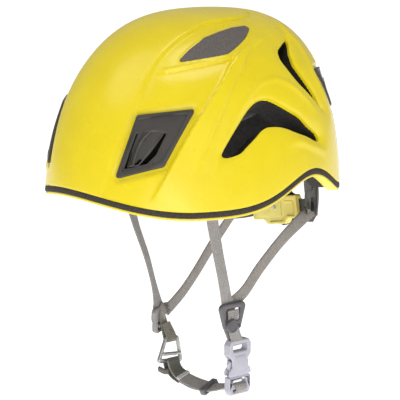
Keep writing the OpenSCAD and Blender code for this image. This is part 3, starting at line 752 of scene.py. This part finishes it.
def make_foam(looks):
    rows, cols = ((110, 360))
    outer = shell_sheet(FOAM_OUT, rows, cols, lambda s: climb(rim_z(s) - 0.5, FOAM_OUT))
    inner = shell_sheet(FOAM_IN, rows // 2, cols, lambda s: climb(rim_z(s) - 2.0, FOAM_IN), 0.0)
    side = around(cols)
    steps = ((1.3, -0.5), (0.9, -0.8), (0.8, -1.6), (0.85, -2.6), (0.8, -3.6), (0.95, -4.4), (1.5, -4.65),
             (6, -4.7), (14, -4.7), (22, -4.6), (24.2, -4.1), (24.6, -3.2))
    lip = np.stack([dome(side, climb(rim_z(side) + z, d), d) for d, z in steps])
    crown = crown_point(FOAM_OUT), crown_point(FOAM_IN)
    # the liner's near-black foam colour is painted shade for the vents' depths
    foam = put("foam_liner_block", closed_skin(outer, lip, inner, *crown), looks["foam"], "helmet",
               ["foam_liner"], 60)
    pockets = [plug_through(o, -9, 15) for o in (CLIP_GAP, rear_clip(CLIP_GAP))]
    cut(foam, plug_through(SIDE_VENT, -9, 40, -0.02), plug_through(REAR_VENT, -9, 40, -0.02), *pockets)
    tidy_mesh(foam, 38)
    points, faces = dome_slab(grown(loop_path(WINDOW), 1.03), (), 3.2, 0.3, 0.75, 62)
    for hand, flip in (("left", np.asarray), ("right", mirrored)):
        put("foam_window_" + hand, (flip(points), faces), looks["window"], "helmet")


def rim_ring(name, steps, look, replaces=()):
    """A closed ring round the rim, its section given as (depth, height above the rim)."""
    side = np.linspace(-180, 180, 400, endpoint=False)
    rings = np.stack([dome(side, climb(rim_z(side) + z, d), d) for d, z in steps])
    n, cols = rings.shape[:2]
    put(name, (rings.reshape(-1, 3), quads(n, cols, True)), look, "helmet", replaces, 50)


def make_trim(looks):
    band = ((1.6, 0.2), (0.7, 0.0), (0.35, -0.5), (0.2, -2.4), (0.35, -4.3), (0.8, -4.95), (1.6, -5.1),
            (2.4, -2.4))
    rim_ring("foam_rim_band", band, looks["band"])
    edge = ((1.7, -4.75), (1.3, -4.95), (1.05, -5.6), (1.15, -6.5), (1.6, -7.1), (2.4, -7.3), (9.5, -7.25),
            (10.7, -6.9), (11, -6.2), (10.9, -5.1), (10.2, -4.9))
    rim_ring("rim_edge_trim", edge, looks["trim"], ["rim_trim"])


def dome_slab(outline, holes, thick, bevel, deep, at_up, longest=3.0):
    """A plate wrapped on the dome: outlines in (side, up), its outer face at the given depth."""
    kx, ky = SIDE_MM * math.cos(math.radians(at_up)) ** SQUARE, UP_MM if at_up < 45 else 1.9
    def flat(o):
        return np.asarray(o, float) * (kx, ky)
    points, faces = slab(flat(outline), [flat(h) for h in holes], thick, bevel, longest)
    return dome(points[:, 0] / kx, points[:, 1] / ky, deep + thick / 2 - points[:, 2]), faces


def clip_outline(corners, radius, at_up=24):
    kx, ky = SIDE_MM * math.cos(math.radians(at_up)) ** SQUARE, UP_MM
    return rounded(np.asarray(corners) * (kx, ky), radius) / (kx, ky)


def make_clips(looks):
    for end in ("front", "rear"):
        move = rear_clip if end == "rear" else (lambda p: p)
        hole = [(43.2, 27.4), (39.9, 20.9), (36.6, 18.2), (27.4, 16.4), (30.7, 27.2)]
        border = [(50.9, 33.3), (41.9, 18.9), (26.6, 15.4), (31.0, 31.4)]
        hook = [(33.4, 17.6), (30.4, 17.1), (28.5, 16.9), (29.6, 22.0), (31.6, 28.6), (42.4, 28.8),
                (42.0, 27.0), (37.6, 21.6)]
        rib = [(31.6, 17.4), (29.3, 17.0), (30.6, 22.4), (33.6, 28.0), (38.0, 28.6), (34.6, 25.6),
               (32.4, 21.6)]
        mid = np.mean(move(CLIP), axis=0)[1]
        for hand, flip in (("left", np.asarray), ("right", mirrored)):
            plate = dome_slab(clip_outline(move(CLIP), 2.6), (clip_outline(move(hole), 0.9),), 2.8, 0.6,
                              0.2, mid)
            rim = dome_slab(clip_outline(move(CLIP), 2.6), (clip_outline(move(border), 1.6),), 2.0, 0.7,
                            -0.8, mid)
            points, faces = join(plate, rim)
            put(f"clip_frame_{end}_{hand}", (flip(points), faces), looks["clip"], "helmet",
                [f"lamp_clip_{end}_{hand}"], 35)
            points, faces = join(dome_slab(clip_outline(move(hook), 0.8), (), 2.6, 0.9, 0.5, mid),
                                 dome_slab(clip_outline(move(rib), 0.5), (), 2.2, 1.0, -0.5, mid))
            put(f"clip_tongue_{end}_{hand}", (flip(points), faces), looks["clip"], f"hook_{end}_{hand}",
                [f"clip_hook_{end}_{hand}"], 35)


# ---------------------------------------------------------------- webbing
def side_strap(sign, ring_z):
    """One side strap: from the foam down behind the ring's top bar, and back up to the nape hanger."""
    if sign > 0:
        hang = [(56.5, -28, -6, .0, .97, 0), (54.4, -20.5, -34, -.12, .97, .05),
                (52.2, -12.5, -60, -.15, .97, .1), (48.8, -5.4, -80, -.1, 1, 0)]
        rise = [(49.6, 15.4, -75.5, -.13, .6, -.8), (50, 32.5, -57.7, -.13, .57, -.81),
                (48, 60, -37, -.13, .57, -.81), (45.5, 88, -21.1, .1, .57, -.7),
                (44.2, 99.5, -15.4, .3, .5, -.6)]
    else:
        hang = [(56.5, -29, -6, .35, .93, 0), (54.5, -19.5, -34, .5, .85, .05),
                (52.6, -10.5, -60, .55, .82, .1), (50.4, -4.6, -85, .55, .82, .05),
                (48, -2.6, -100, .3, .95, 0)]
        rise = [(50.2, 12.3, -109.4, .2, .7, -.75), (51, 30.3, -96.8, .25, .57, -.81),
                (51, 47.6, -79, .25, .57, -.81), (49, 63, -58.5, .25, .57, -.81),
                (45, 79.6, -36.6, .3, .57, -.7), (43.5, 84.6, -30.6, .3, .5, -.6)]
    front = [(76.5, -40, 26, .2, .95, .1), (69, -36.5, 12, .25, .95, .05), *hang,
             (46.9, -2.4, ring_z + 11.4, 0, 1, 0),
             (46.6, -0.8, ring_z + 5.6, 0, 1, 0), (48.0, 0, ring_z - 1.4, 0, 1, 0),
             (50.6, 0, ring_z - 2.9, 0, 1, 0), (52.2, 0, ring_z + 0.4, 0, 1, 0),
             (51.6, 0, ring_z + 6.2, 0, 1, 0)]
    back = [(45.2, 1.4, ring_z + 7, 0, .95, -.2), (45.8, 4.4, ring_z + 10.6, 0, .75, -.6), *rise]
    def turn(rows):
        return [(r[0] * sign, r[1], r[2], r[3] * sign, r[4], r[5]) for r in rows]
    return turn(front), turn(back)


def make_straps(looks):
    def web(name, way, wide, thick, look, body="plug", replaces=()):
        put(name, tape(way, wide, thick), looks[look], body, replaces, 50)

    for hand, sign, ring_z in (("left", 1, -96), ("right", -1, -117.5)):
        front, back = side_strap(sign, ring_z)
        put("strap_front_" + hand, tape(front), looks["web"], "helmet", ["side_strap_" + hand],
            50)
        # the rear leg wears the darker webbing, painted shade
        put("strap_rear_" + hand, tape(back), looks["web_shade"], "helmet", (), 50)
    # the short web from the left ring, looped through the buckle
    loop = [(50.2, -1.2, -103.4, 0, 1, .05), (52.9, -0.8, -106, 0, 1, .05),
            (52.8, 1.4, -112.4, 0, .98, .12), (52.6, 4.4, -118.6, 0, .99, .08),
            (50.6, 5.6, -121.6, 0, 1, 0),
            (48.4, 4.4, -119.0, 0, 1, 0), (47.4, 1.6, -112.6, 0, .98, .12),
            (47.2, -0.8, -106.4, 0, 1, .05), (49.6, -1.2, -103.2, 0, 1, .05)]
    web("web_short_left", loop, 11.6, 1.4, "web", "left_harness", ["lower_web_left"])
    # the web under the right slider, looped round the top of the triangle ring
    loop = [(-47.6, 2.0, -109, -.45, .88, .05), (-47.2, 3.0, -117, -.4, .9, .05),
            (-45.6, 4.6, -126, -.25, .95, .1), (-43.4, 5.6, -133, 0, 1, .05), (-42.3, 6, -136.0, 0, 1, 0),
            (-40.2, 6, -137.3, 0, 1, 0), (-38.0, 6, -135.6, 0, 1, 0), (-39.2, 5.6, -131.2, 0, 1, .05),
            (-42.2, 4.8, -125, -.2, 1, .1), (-44.0, 4.2, -120.5, -.3, .95, .1)]
    web("web_under_slider", loop, 11.2, 1.4, "web_olive", "plug", ["lower_web_right"])
    # the chin web: round the bottom bar of the triangle ring, under the chin and into the plug
    chin = [(-37.0, 6, -153.6, 0, 1, 0), (-36.4, 6, -156.4, 0, 1, 0), (-34.8, 6, -159.8, 0, 1, 0),
            (-30.2, 6, -163.6, 0, .97, .2), (-21, 5.8, -166.6, 0, .9, .4),
            (-4, 5.8, -168.6, 0, .87, .5), (14, 6.0, -168.0, 0, .9, .43), (26, 6.2, -165.6, 0, .93, .35),
            (38, 6.4, -161.8, 0, .97, .2), (46, 6.5, -159.4, 0, 1, 0),
            (54.2, 6.5, -157.6, 0, 1, 0)]
    web("web_chin", chin, 12.6, 1.6, "web", replaces=["chin_web"])
    # the return, fold, end and overlap layers wear the dark webbing, painted shade
    under = [(-24, 7.0, -168.2, 0, .9, .4), (-8, 7.4, -170.6, 0, .9, .42), (8, 7.6, -170.4, 0, .95, .25),
             (22, 7.4, -167.8, 0, 1, .1), (36, 7.0, -163.8, 0, 1, .05), (47, 6.5, -161.6, 0, 1, 0)]
    web("web_chin_return", under, 12.2, 1.4, "web_painted_shade")
    tail = [(-38.4, 6, -154.4, 0, 1, 0), (-41.0, 6, -154.2, 0, 1, 0), (-42.6, 6, -156.6, 0, 1, 0),
            (-41.6, 6, -160.6, 0, 1, 0), (-38.4, 6, -164.0, 0, 1, .05), (-32.4, 6.4, -167.4, 0, .96, .25),
            (-24, 7.0, -169.4, 0, .9, .4)]
    web("web_chin_fold", tail, 12.4, 1.6, "web_painted_shade")
    end = [(-34.6, -0.6, -163.4, .1, .3, -.95), (-39.4, -2.2, -163.8, .1, .3, -.95),
           (-45.4, -3.2, -162.6, .1, .3, -.95)]
    web("web_chin_end", end, 5.0, 2.6, "web_painted_shade")
    cover = [(-37.2, 6, -151.6, 0, 1, 0), (-35.0, 6, -155.0, 0, 1, 0), (-33.6, 6, -158.4, 0, 1, 0),
             (-31.0, 6, -161.4, 0, .99, .1), (-26.4, 5.8, -164.0, 0, .94, .3),
             (-21.6, 5.7, -165.2, 0, .9, .4)]
    web("web_chin_overlap", cover, 12.6, 1.5, "web_painted_shade")
    hem = [(-23.2, 5.6, -164.6, 0, .9, .4), (-21.6, 5.5, -165.0, 0, .9, .4),
           (-20.0, 5.5, -165.4, 0, .9, .4)]
    web("web_chin_hem", hem, 13.2, 2.4, "hem")
    end_wrap = [(51.6, 6.5, -156.0, 0, 1, 0), (54.4, 6.5, -156.2, 0, 1, 0), (55.6, 6.5, -158.4, 0, 1, 0),
                (55.4, 6.5, -161.4, 0, 1, 0), (53.6, 6.5, -162.6, 0, 1, 0), (50.6, 6.5, -162.0, 0, 1, 0)]
    web("web_chin_wrap", end_wrap, 12.0, 1.6, "web")


# ---------------------------------------------------------------- rings and buckle
def side_plate(x, y, z, outline, holes, thick, bevel, longest=0.0):
    """A plate that stands across the wearer: its outline in Y and Z, its thickness along X."""
    points, faces = slab(outline, holes, thick, bevel, longest)
    return place(points, (x, y, z), (0, 1, 0), (0, 0, 1), (1, 0, 0)), faces


def slim(shape):
    """Draws a part of the buckle in a little about its middle, to the width of the 15 mm size."""
    points, faces = shape
    return (np.asarray(points, float) - (50, 6.5, 0)) * (0.92, 0.93, 1) + (50, 6.5, 0), faces


def box_ring(y0, y1, z0, z1, r):
    return rounded([(y0, z0), (y1, z0), (y1, z1), (y0, z1)], r)


def make_rings(looks):
    outline = wrap([(-10.3, 8, 4.2), (10.3, 8, 4.2), (-5, -7, 5), (5, -7, 5)])
    window, slot = rounded([(-6.8, -3.2), (6.8, -3.2), (8.6, 7.4), (-8.6, 7.4)], 1.8), box_ring(-7.2, 7.2,
        -9.6, -6.8, 1.0)
    ring = side_plate(50, 0, -96, outline, (window, slot), 4.2, 1.5)
    tab = side_plate(53.6, -3.0, -103.2, circle(0, 0, 6.1, 40), (), 3.2, 0.8)
    rim = side_plate(55.1, -3.0, -103.2, circle(0, 0, 5.6, 40), (circle(0, 0, 4.5, 32),), 1.0, 0.35)
    dots = [side_plate(55.0, x * 1.7 + (y % 2) * 0.85 - 3.0, -103.2 + y * 1.5, circle(0, 0, 0.5, 8), (),
                       0.7, 0.2)
            for x in range(-2, 3) for y in range(-2, 3) if math.hypot(x * 1.7 + (y % 2) * 0.85,
                y * 1.5) < 4.0]
    put("ring_left", join(ring, tab, rim, *dots), looks["ring"], "left_harness",
        ["strap_ring_left"], 35)
    ring = side_plate(-50, 0, -113, outline, (window, slot), 4.2, 1.5)
    bar = side_plate(-53.0, 0, -119.5, box_ring(-7, 7, -4.5, 4.5, 2.0),
                     (box_ring(-4.6, 4.6, -2.4, 2.4, 1.0),), 2.2, 0.8)
    points, faces = join(ring, bar)
    turn = math.radians(30)
    x, y = points[:, 0] + 50, points[:, 1]
    points = np.column_stack([x * math.cos(turn) - y * math.sin(turn) - 49,
                              x * math.sin(turn) + y * math.cos(turn), points[:, 2] - 4.5])
    put("ring_right", (points, faces), looks["slider"], "right_ring", ["strap_ring_right"],
        35)
    outer = rounded([(-15.4, -12.6), (15.4, -12.6), (7.6, 12.6), (-7.6, 12.6)], (3.6, 3.6, 5.0, 5.0), 9)
    inner = rounded([(-10.4, -8.6), (10.4, -8.6), (5.2, 8.6), (-5.2, 8.6)], (1.6, 1.6, 2.6, 2.6), 7)
    lean = math.radians(-6)
    spin = np.array([[math.cos(lean), math.sin(lean)], [-math.sin(lean), math.cos(lean)]])
    ring = side_plate(-40, 6, -144.5, outer @ spin, (inner @ spin,), 3.6, 1.7)
    bar = side_plate(-38.4, 6, -148.4, box_ring(-10.8, 10.8, -1.5, 1.5, 1.2) @ spin, (), 3.2, 1.1)
    put("triangle", join(ring, bar), looks["triangle"], "plug", ["triangle_ring"], 60)


def make_buckle(looks):
    top = rounded([(-10.5, -117), (10.5, -117), (13.4, -121), (13.4, -129.6), (12.6, -131.6), (9.8, -134),
                   (9.4, -140.4), (12.4, -143.4), (13.4, -145.6),
                   (13.4, -148.6), (-13.4, -148.6), (-13.4, -145.6), (-12.4, -143.4), (-9.4, -140.4),
                   (-9.8, -134), (-12.6, -131.6), (-13.4, -129.6), (-13.4, -121)], 1.6)
    hole = box_ring(-8.6, 8.6, -127.2, -120.4, 2.2)
    def shift(o, dz):
        return np.asarray(o) + (0, dz)
    front = side_plate(53.3, 6.5, -133, shift(top, 133), (shift(hole, 133),), 2.0, 0.85, 4.0)
    rear = side_plate(46.7, 6.5, -133, shift(top, 133), (shift(hole, 133),), 2.0, 0.85, 4.0)
    head = rounded([(-10.5, -117), (10.5, -117), (13.2, -121), (13.2, -129.5), (11, -132), (-11, -132),
                    (-13.2, -129.5), (-13.2, -121)], 1.6)
    core = side_plate(50, 6.5, -124, shift(head, 124), (shift(hole, 124),), 5.4, 0.5)
    ridge = side_plate(54.3, 6.5, -137.6, box_ring(-6.4, 6.4, -6.4, 6.4, 1.6), (), 0.9, 0.4)
    put("buckle_top", slim(join(front, rear, core, ridge)), looks["buckle"], "left_harness",
        ["buckle_socket"], 32)
    low = rounded([(-13.4, -149.7), (13.4, -149.7), (13.4, -161.4), (11.2, -165.8), (-11.2, -165.8),
                   (-13.4, -161.4)], (1.2, 1.2, 2.4, 1.4, 1.4, 2.4))
    slots = (shift(box_ring(-7.9, 7.9, -156.4, -153.2, 1.0), 157),
             shift(box_ring(-7.9, 7.9, -163.2, -160.0, 1.0), 157))
    body = side_plate(50, 6.5, -157, shift(low, 157), slots, 7.6, 1.3)
    collar = side_plate(50, 6.5, -150, box_ring(-11, 11, -1.2, 1.8, 0.8), (), 5.6, 0.6)
    stem = side_plate(50, 6.5, -142, box_ring(-2.6, 2.6, -8, 7, 1.2), (), 3.4, 0.7)
    put("buckle_bottom", slim(join(body, collar, stem)), looks["buckle"], "plug",
        ["buckle_plug"], 32)
    for name, side, body in (("front", -1, "prong_front"), ("back", 1, "prong_back")):
        arm = rounded([(4.2 * side, -149.1), (7.4 * side, -149.1), (9.0 * side, -144.4),
                       (12.2 * side, -141.2), (12.5 * side, -137.2), (10.6 * side, -134.9),
                       (8.6 * side, -136.2), (7.4 * side, -143.0), (4.4 * side, -146.8)], 0.9)
        arm = slim(side_plate(50, 6.5, -142, shift(arm, 142), (), 3.6, 0.8))
        put("buckle_arm_" + name, arm, looks["buckle"], body, ["buckle_prong_" + name],
            32)
    c, s = math.cos(math.radians(25)), math.sin(math.radians(25))
    points, faces = slab(box_ring(-9.2, 9.2, -3.2, 3.2, 1.4), (box_ring(-7.0, 7.0, -1.2, 1.2, 0.5),), 6,
                         0.7)
    points = place(points, (13, 6, -168.2), (0, c, s), (-s * 0.09, -s, c), (0.995, 0, 0.0906))
    put("keeper", (points, faces), looks["ring"], "keeper", ["web_keeper"], 35)


# ---------------------------------------------------------------- nape
ROLL = math.radians(11)
NAPE_X, NAPE_Z = np.array([math.cos(ROLL), 0, math.sin(ROLL)]), np.array([-math.sin(ROLL), 0,
    math.cos(ROLL)])


def nape_plate(y, outline, holes, thick, bevel, centre=(0, 0), longest=0.0):
    """A plate of the nape assembly: its outline in the rolled frame, its thickness along Y."""
    points, faces = slab(outline, holes, thick, bevel, longest)
    origin = np.array([0, y, -20.0]) + centre[0] * NAPE_X + centre[1] * NAPE_Z
    return place(points, origin, NAPE_X, NAPE_Z, (0, 1, 0)), faces


def make_nape(looks):
    outline = rounded([(-31, -10.6), (-31, 8.6), (-17.5, 9.2), (-13.5, 15.4), (13.4, 15.4), (17.2, 10.4),
                       (22.8, 10.4), (31, 10.2), (31, -10.8), (17, -11), (13, -15.4), (-12, -15.4),
                       (-17, -10.8)],
                      (2.5, 2.5, 2, 3, 2.4, 1.2, 1.2, 2.4, 2.4, 2, 3.2, 3.2, 2), 8)
    plate = nape_plate(98.2, outline, (), 5.2, 1.0)
    border = rounded([(9.0, 15.0), (13.2, 15.0), (17.0, 10.0), (30.6, 9.8), (30.6, -10.4), (17, -10.6),
                      (12.6, -15.0), (-8, -15.0), (-8, -12.6), (10.4, -12.6), (15.4, -8.2),
                      (26.6, -8.0), (26.6, 6.2), (14.4, 6.6), (10.2, 12.0), (9.0, 12.2)], 0.9)
    step = nape_plate(95.0, border, (), 2.0, 0.55)
    inner_step = nape_plate(95.4, rounded([(12.0, 9.6), (14.6, 5.4), (25.0, 5.0), (25.0, -6.6),
                                           (23.2, -6.6), (23.2, 3.2), (13.4, 3.6), (10.6, 8.0)], 0.6), (),
                                           1.2, 0.4)
    field = nape_plate(95.4, rounded([(-27, -7), (-27, 6), (8, 6.4), (8, -9)], 1.6), (), 0.7, 0.3)
    put("nape_plate", join(plate, step, inner_step, field), looks["housing"], "helmet",
        ["nape_housing"], 32)
    t = np.linspace(0, 2 * np.pi, 16 * 14, endpoint=False)
    r = 17.6 - 0.9 * np.abs(np.sin(t * 8)) ** 3
    knob = np.stack([r * np.cos(t), r * np.sin(t)], -1)
    wheel = nape_plate(105.6, knob, (), 5.2, 0.9)
    cap = nape_plate(109.2, circle(0, 0, 13.4, 60), (), 3.0, 1.2)
    dish = nape_plate(110.4, circle(0, 0, 10.6, 60), (circle(0, 0, 8.6, 48),), 1.4, 0.5)
    hub = nape_plate(101.4, circle(0, 0, 4.6, 40), (), 8.0, 0.5)
    put("dial_wheel", join(wheel, cap, dish, hub), looks["dark"], "dial",
        ["adjuster_dial"], 35)


def sweep(centres, across, wide, thick):
    """A flat moulded arm along points, with its own width and thickness at each point."""
    pts, _ = curve_through([(*c, *a, w, t) for c, a, w, t in zip(centres, across, wide, thick)], 1.2)
    centre, side, w, t = pts[:, :3], pts[:, 3:6], pts[:, 6], pts[:, 7]
    tangent = unit(np.gradient(centre, axis=0))
    side = unit(side - (side * tangent).sum(1)[:, None] * tangent)
    out = np.cross(tangent, side)
    angle = np.linspace(0, 2 * np.pi, 24, endpoint=False)
    sx = np.sign(np.cos(angle)) * np.abs(np.cos(angle)) ** 0.45
    sy = np.sign(np.sin(angle)) * np.abs(np.sin(angle)) ** 0.45
    flat, rise = (w[:, None] / 2 * sx)[..., None] * side[:, None], (t[:, None] / 2 * sy)[...,
        None] * out[:, None]
    grid = centre[:, None] + flat + rise
    n, cols = grid.shape[:2]
    faces = quads(n, cols) + [tuple(range(cols)), tuple(range((n - 1) * cols, n * cols))]
    return grid.reshape(-1, 3), faces


def make_hangers(looks):
    for hand, sign in (("left", 1), ("right", -1)):
        way = [(.4, .9, 0)] * 4
        leg_a = sweep([(44.5, 92, 33), (43.4, 93.6, 18), (42.6, 96, 5), (42.4, 98.4, -6)], way,
                      (7.0, 6.6, 7.2, 7.6), (2.2, 2.4, 3.2, 4.0))
        leg_b = sweep([(42, 104.2, 31), (44.8, 103.2, 18), (45.8, 101.6, 5), (44.4, 100.4, -6)], way,
                      (3.4, 3.6, 5.4, 6.0), (2.4, 2.6, 3.2, 4.0))
        foot = -27 if sign > 0 else -20
        body = sweep([(43.6, 99.4, 1), (43.6, 99.6, -7), (43.0, 99.6, foot + 8), (42.4, 99.4, foot)],
                     [(.55, .83, 0)] * 4, (12.0, 12.6, 11.0, 5.0), (4.5, 5.4, 5.0, 3.0))
        rib = sweep([(45.8, 103.4, 8), (47.0, 103.0, -4), (46.4, 102.8, foot + 6)], [(.55, .83, 0)] * 3,
                    (2.0, 2.4, 1.8), (6.6, 7.4, 5.6))
        side = sweep([(42, 97, -15), (50, 89, -13), (58, 82, -8)], [(0, 0, 1)] * 3, (12, 9, 7),
                     (3.4, 3.0, 2.4))
        points, faces = join(leg_a, leg_b, body, rib, side)
        if sign < 0:
            points = points * (-1, 1, 1) - (0, 0, 6)
        put("hanger_arm_" + hand, (points, faces), looks["hanger"], "helmet",
            ["hanger_" + hand], 40)
    strip = sweep([(-12, 99.6, -22.4), (-30, 99.2, -27.5), (-44, 97.4, -32), (-54, 93.4, -34.5),
                   (-61, 87.5, -35.5)], [(.19, 0, .98)] * 5, (11.0, 10.6, 9.6, 8.4, 7.0),
                   (1.5, 1.6, 1.8, 1.8, 1.6))
    stud = nape_plate(97.4, circle(0, 0, 2.2, 24), (circle(0, 0, 1.0, 16),), 1.4, 0.3, (-45.5, -4.2))
    put("cradle_strip_right", join(strip, stud), looks["hanger"], "arm_right",
        ["cradle_arm_right"], 40)


# ---------------------------------------------------------------- pads
def pad_sheet(corners, count_a, count_b):
    """Middle points of a pad laid on the dome between four (side, up) corners, in order round it."""
    a, b = np.meshgrid(np.linspace(0, 1, count_a), np.linspace(0, 1, count_b), indexing="ij")
    c = np.asarray(corners, float)
    shares = ((1 - a) * (1 - b), a * (1 - b), a * b, (1 - a) * b)
    su = sum(w[..., None] * corner for w, corner in zip(shares, c))
    return a, b, su[..., 0], su[..., 1]


def pillow(a, b, side_pts, channels):
    """Cushion thickness share: full in the middle, drawn in at its rim and at its stitched channels."""
    edge = np.minimum(np.minimum(a, 1 - a) * side_pts[0], np.minimum(b, 1 - b) * side_pts[1])
    full = np.clip(1 - (1 - np.clip(edge / 5.0, 0, 1)) ** 2.4, 0.04, 1)
    for c in channels:
        full = full * (1 - 0.55 * np.exp(-((a - c) * side_pts[0] / 1.3) ** 2))
    return full


def soften(obj, cap):
    """Inflates a pad by a short cloth simulation, and caps how far each point moved."""
    start = np.array([v.co[:] for v in obj.data.vertices])
    mod = obj.modifiers.new("cloth", "CLOTH")
    mod.settings.use_pressure, mod.settings.uniform_pressure_force = True, 4.0
    mod.settings.quality, mod.settings.effector_weights.gravity = 4, 0.0
    mod.settings.tension_stiffness = mod.settings.compression_stiffness = 30
    scene = bpy.context.scene
    scene.frame_start, scene.frame_end = 1, 20
    for f in range(1, 21):
        scene.frame_set(f)
    after = bpy.data.meshes.new_from_object(obj.evaluated_get(bpy.context.evaluated_depsgraph_get()))
    end = np.array([v.co[:] for v in after.vertices])
    obj.modifiers.clear()
    scene.frame_set(1)
    move = end - start if end.shape == start.shape and np.isfinite(end).all() else np.zeros_like(start)
    far = np.linalg.norm(move, axis=1)[:, None]
    move *= np.minimum(1, cap / np.maximum(far, 1e-9))
    obj.data.vertices.foreach_set("co", (start + move).ravel())
    obj.data.update()
    bpy.data.meshes.remove(after)


def make_pad(name, node, look, middle, share, thick=5.4):
    """A closed cushion round a sheet of middle points, with its outward direction at each."""
    centre, out = middle
    top, bottom = centre + out * (share * thick / 2)[..., None], centre - out * (share * thick / 2)[...,
        None]
    na, nb = share.shape
    index = np.arange(na * nb).reshape(na, nb)
    faces = []
    for i in range(na - 1):
        for j in range(nb - 1):
            q = (index[i, j], index[i + 1, j], index[i + 1, j + 1], index[i, j + 1])
            faces += [q, tuple(k + na * nb for k in q[::-1])]
    ring = [*index[:, 0], *index[-1, 1:], *index[-2::-1, -1], *index[0, -2:0:-1]]
    faces += [(ring[k], ring[(k + 1) % len(ring)], ring[(k + 1) % len(ring)] + na * nb,
               ring[k] + na * nb) for k in range(len(ring))]
    obj = put(name, (np.concatenate([top.reshape(-1, 3), bottom.reshape(-1, 3)]), faces), look, "helmet",
              [node], 80)
    soften(obj, 0.0006)
    mod = obj.modifiers.new("smooth", "SUBSURF")
    mod.levels = mod.render_levels = 1
    return obj


def make_pads(looks):
    def on_dome(corners, na, nb, deep):
        a, b, side, up = pad_sheet(corners, na, nb)
        centre = dome(side, up, deep)
        out = dome(side, up, 0) - dome(side, up, 20)
        out /= np.linalg.norm(out, axis=-1)[..., None]
        return a, b, centre, out
    jobs = [("pad_brow", "brow_pad", [(-40, 9), (40, 9), (36, 18.5), (-36, 18.5)], 61, 15, (150, 25),
             (0.2, 0.4, 0.6, 0.8)),
            ("pad_side_left", "side_pad_left", [(60, 30), (104, 40), (100, 50), (64, 42)], 41, 15,
             (75, 24), (0.33, 0.66)),
            ("pad_side_right", "side_pad_right", [(-60, 30), (-104, 40), (-100, 50), (-64, 42)], 41, 15,
             (75, 24), (0.33, 0.66))]
    for name, node, corners, na, nb, size, channels in jobs:
        a, b, centre, out = on_dome(corners, na, nb, 28.55)
        make_pad(name, node, looks["pad"], (centre, out), pillow(a, b, size, channels))
    a, b = np.meshgrid(np.linspace(0, 1, 61), np.linspace(-1, 1, 21), indexing="ij")
    angle = 48 + a * (180 - 48 - 48)
    side, up = np.where(angle <= 90, 0.0, 180.0), np.where(angle <= 90, angle, 180 - angle)
    centre = dome(side, up, 31.15 - 2.6)
    out = dome(side, up, 0) - dome(side, up, 20)
    out[..., 0] = 0
    out /= np.linalg.norm(out, axis=-1)[..., None]
    centre = centre.copy()
    centre[..., 0] += b * 19 * (1 - 0.25 * np.abs(2 * a - 1) ** 3)
    centre -= out * ((b * 19) ** 2 / 300)[..., None]
    share = pillow(a, (b + 1) / 2, (150, 38), (0.25, 0.5,
        0.75)) * (1 - 0.5 * np.exp(-(b * 19 / 1.3) ** 2) * (a > 0.25) * (a < 0.75))
    make_pad("pad_crown", "crown_pad", looks["pad"], (centre, out), share)


def dress_cad(looks):
    """Better materials for the CAD nodes that stay as they are."""
    for node, look in (("strap_anchors", "dark"), ("cradle_arm_left", "dark"), ("nape_cover", "dark"),
                       ("dial_axle", "steel")):
        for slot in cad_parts[node].material_slots:
            slot.material = looks[look]


make_studio()
looks = make_looks()
make_shell(looks)
make_foam(looks)
make_trim(looks)
make_clips(looks)
make_straps(looks)
make_rings(looks)
make_buckle(looks)
make_nape(looks)
make_hangers(looks)
make_pads(looks)
dress_cad(looks)
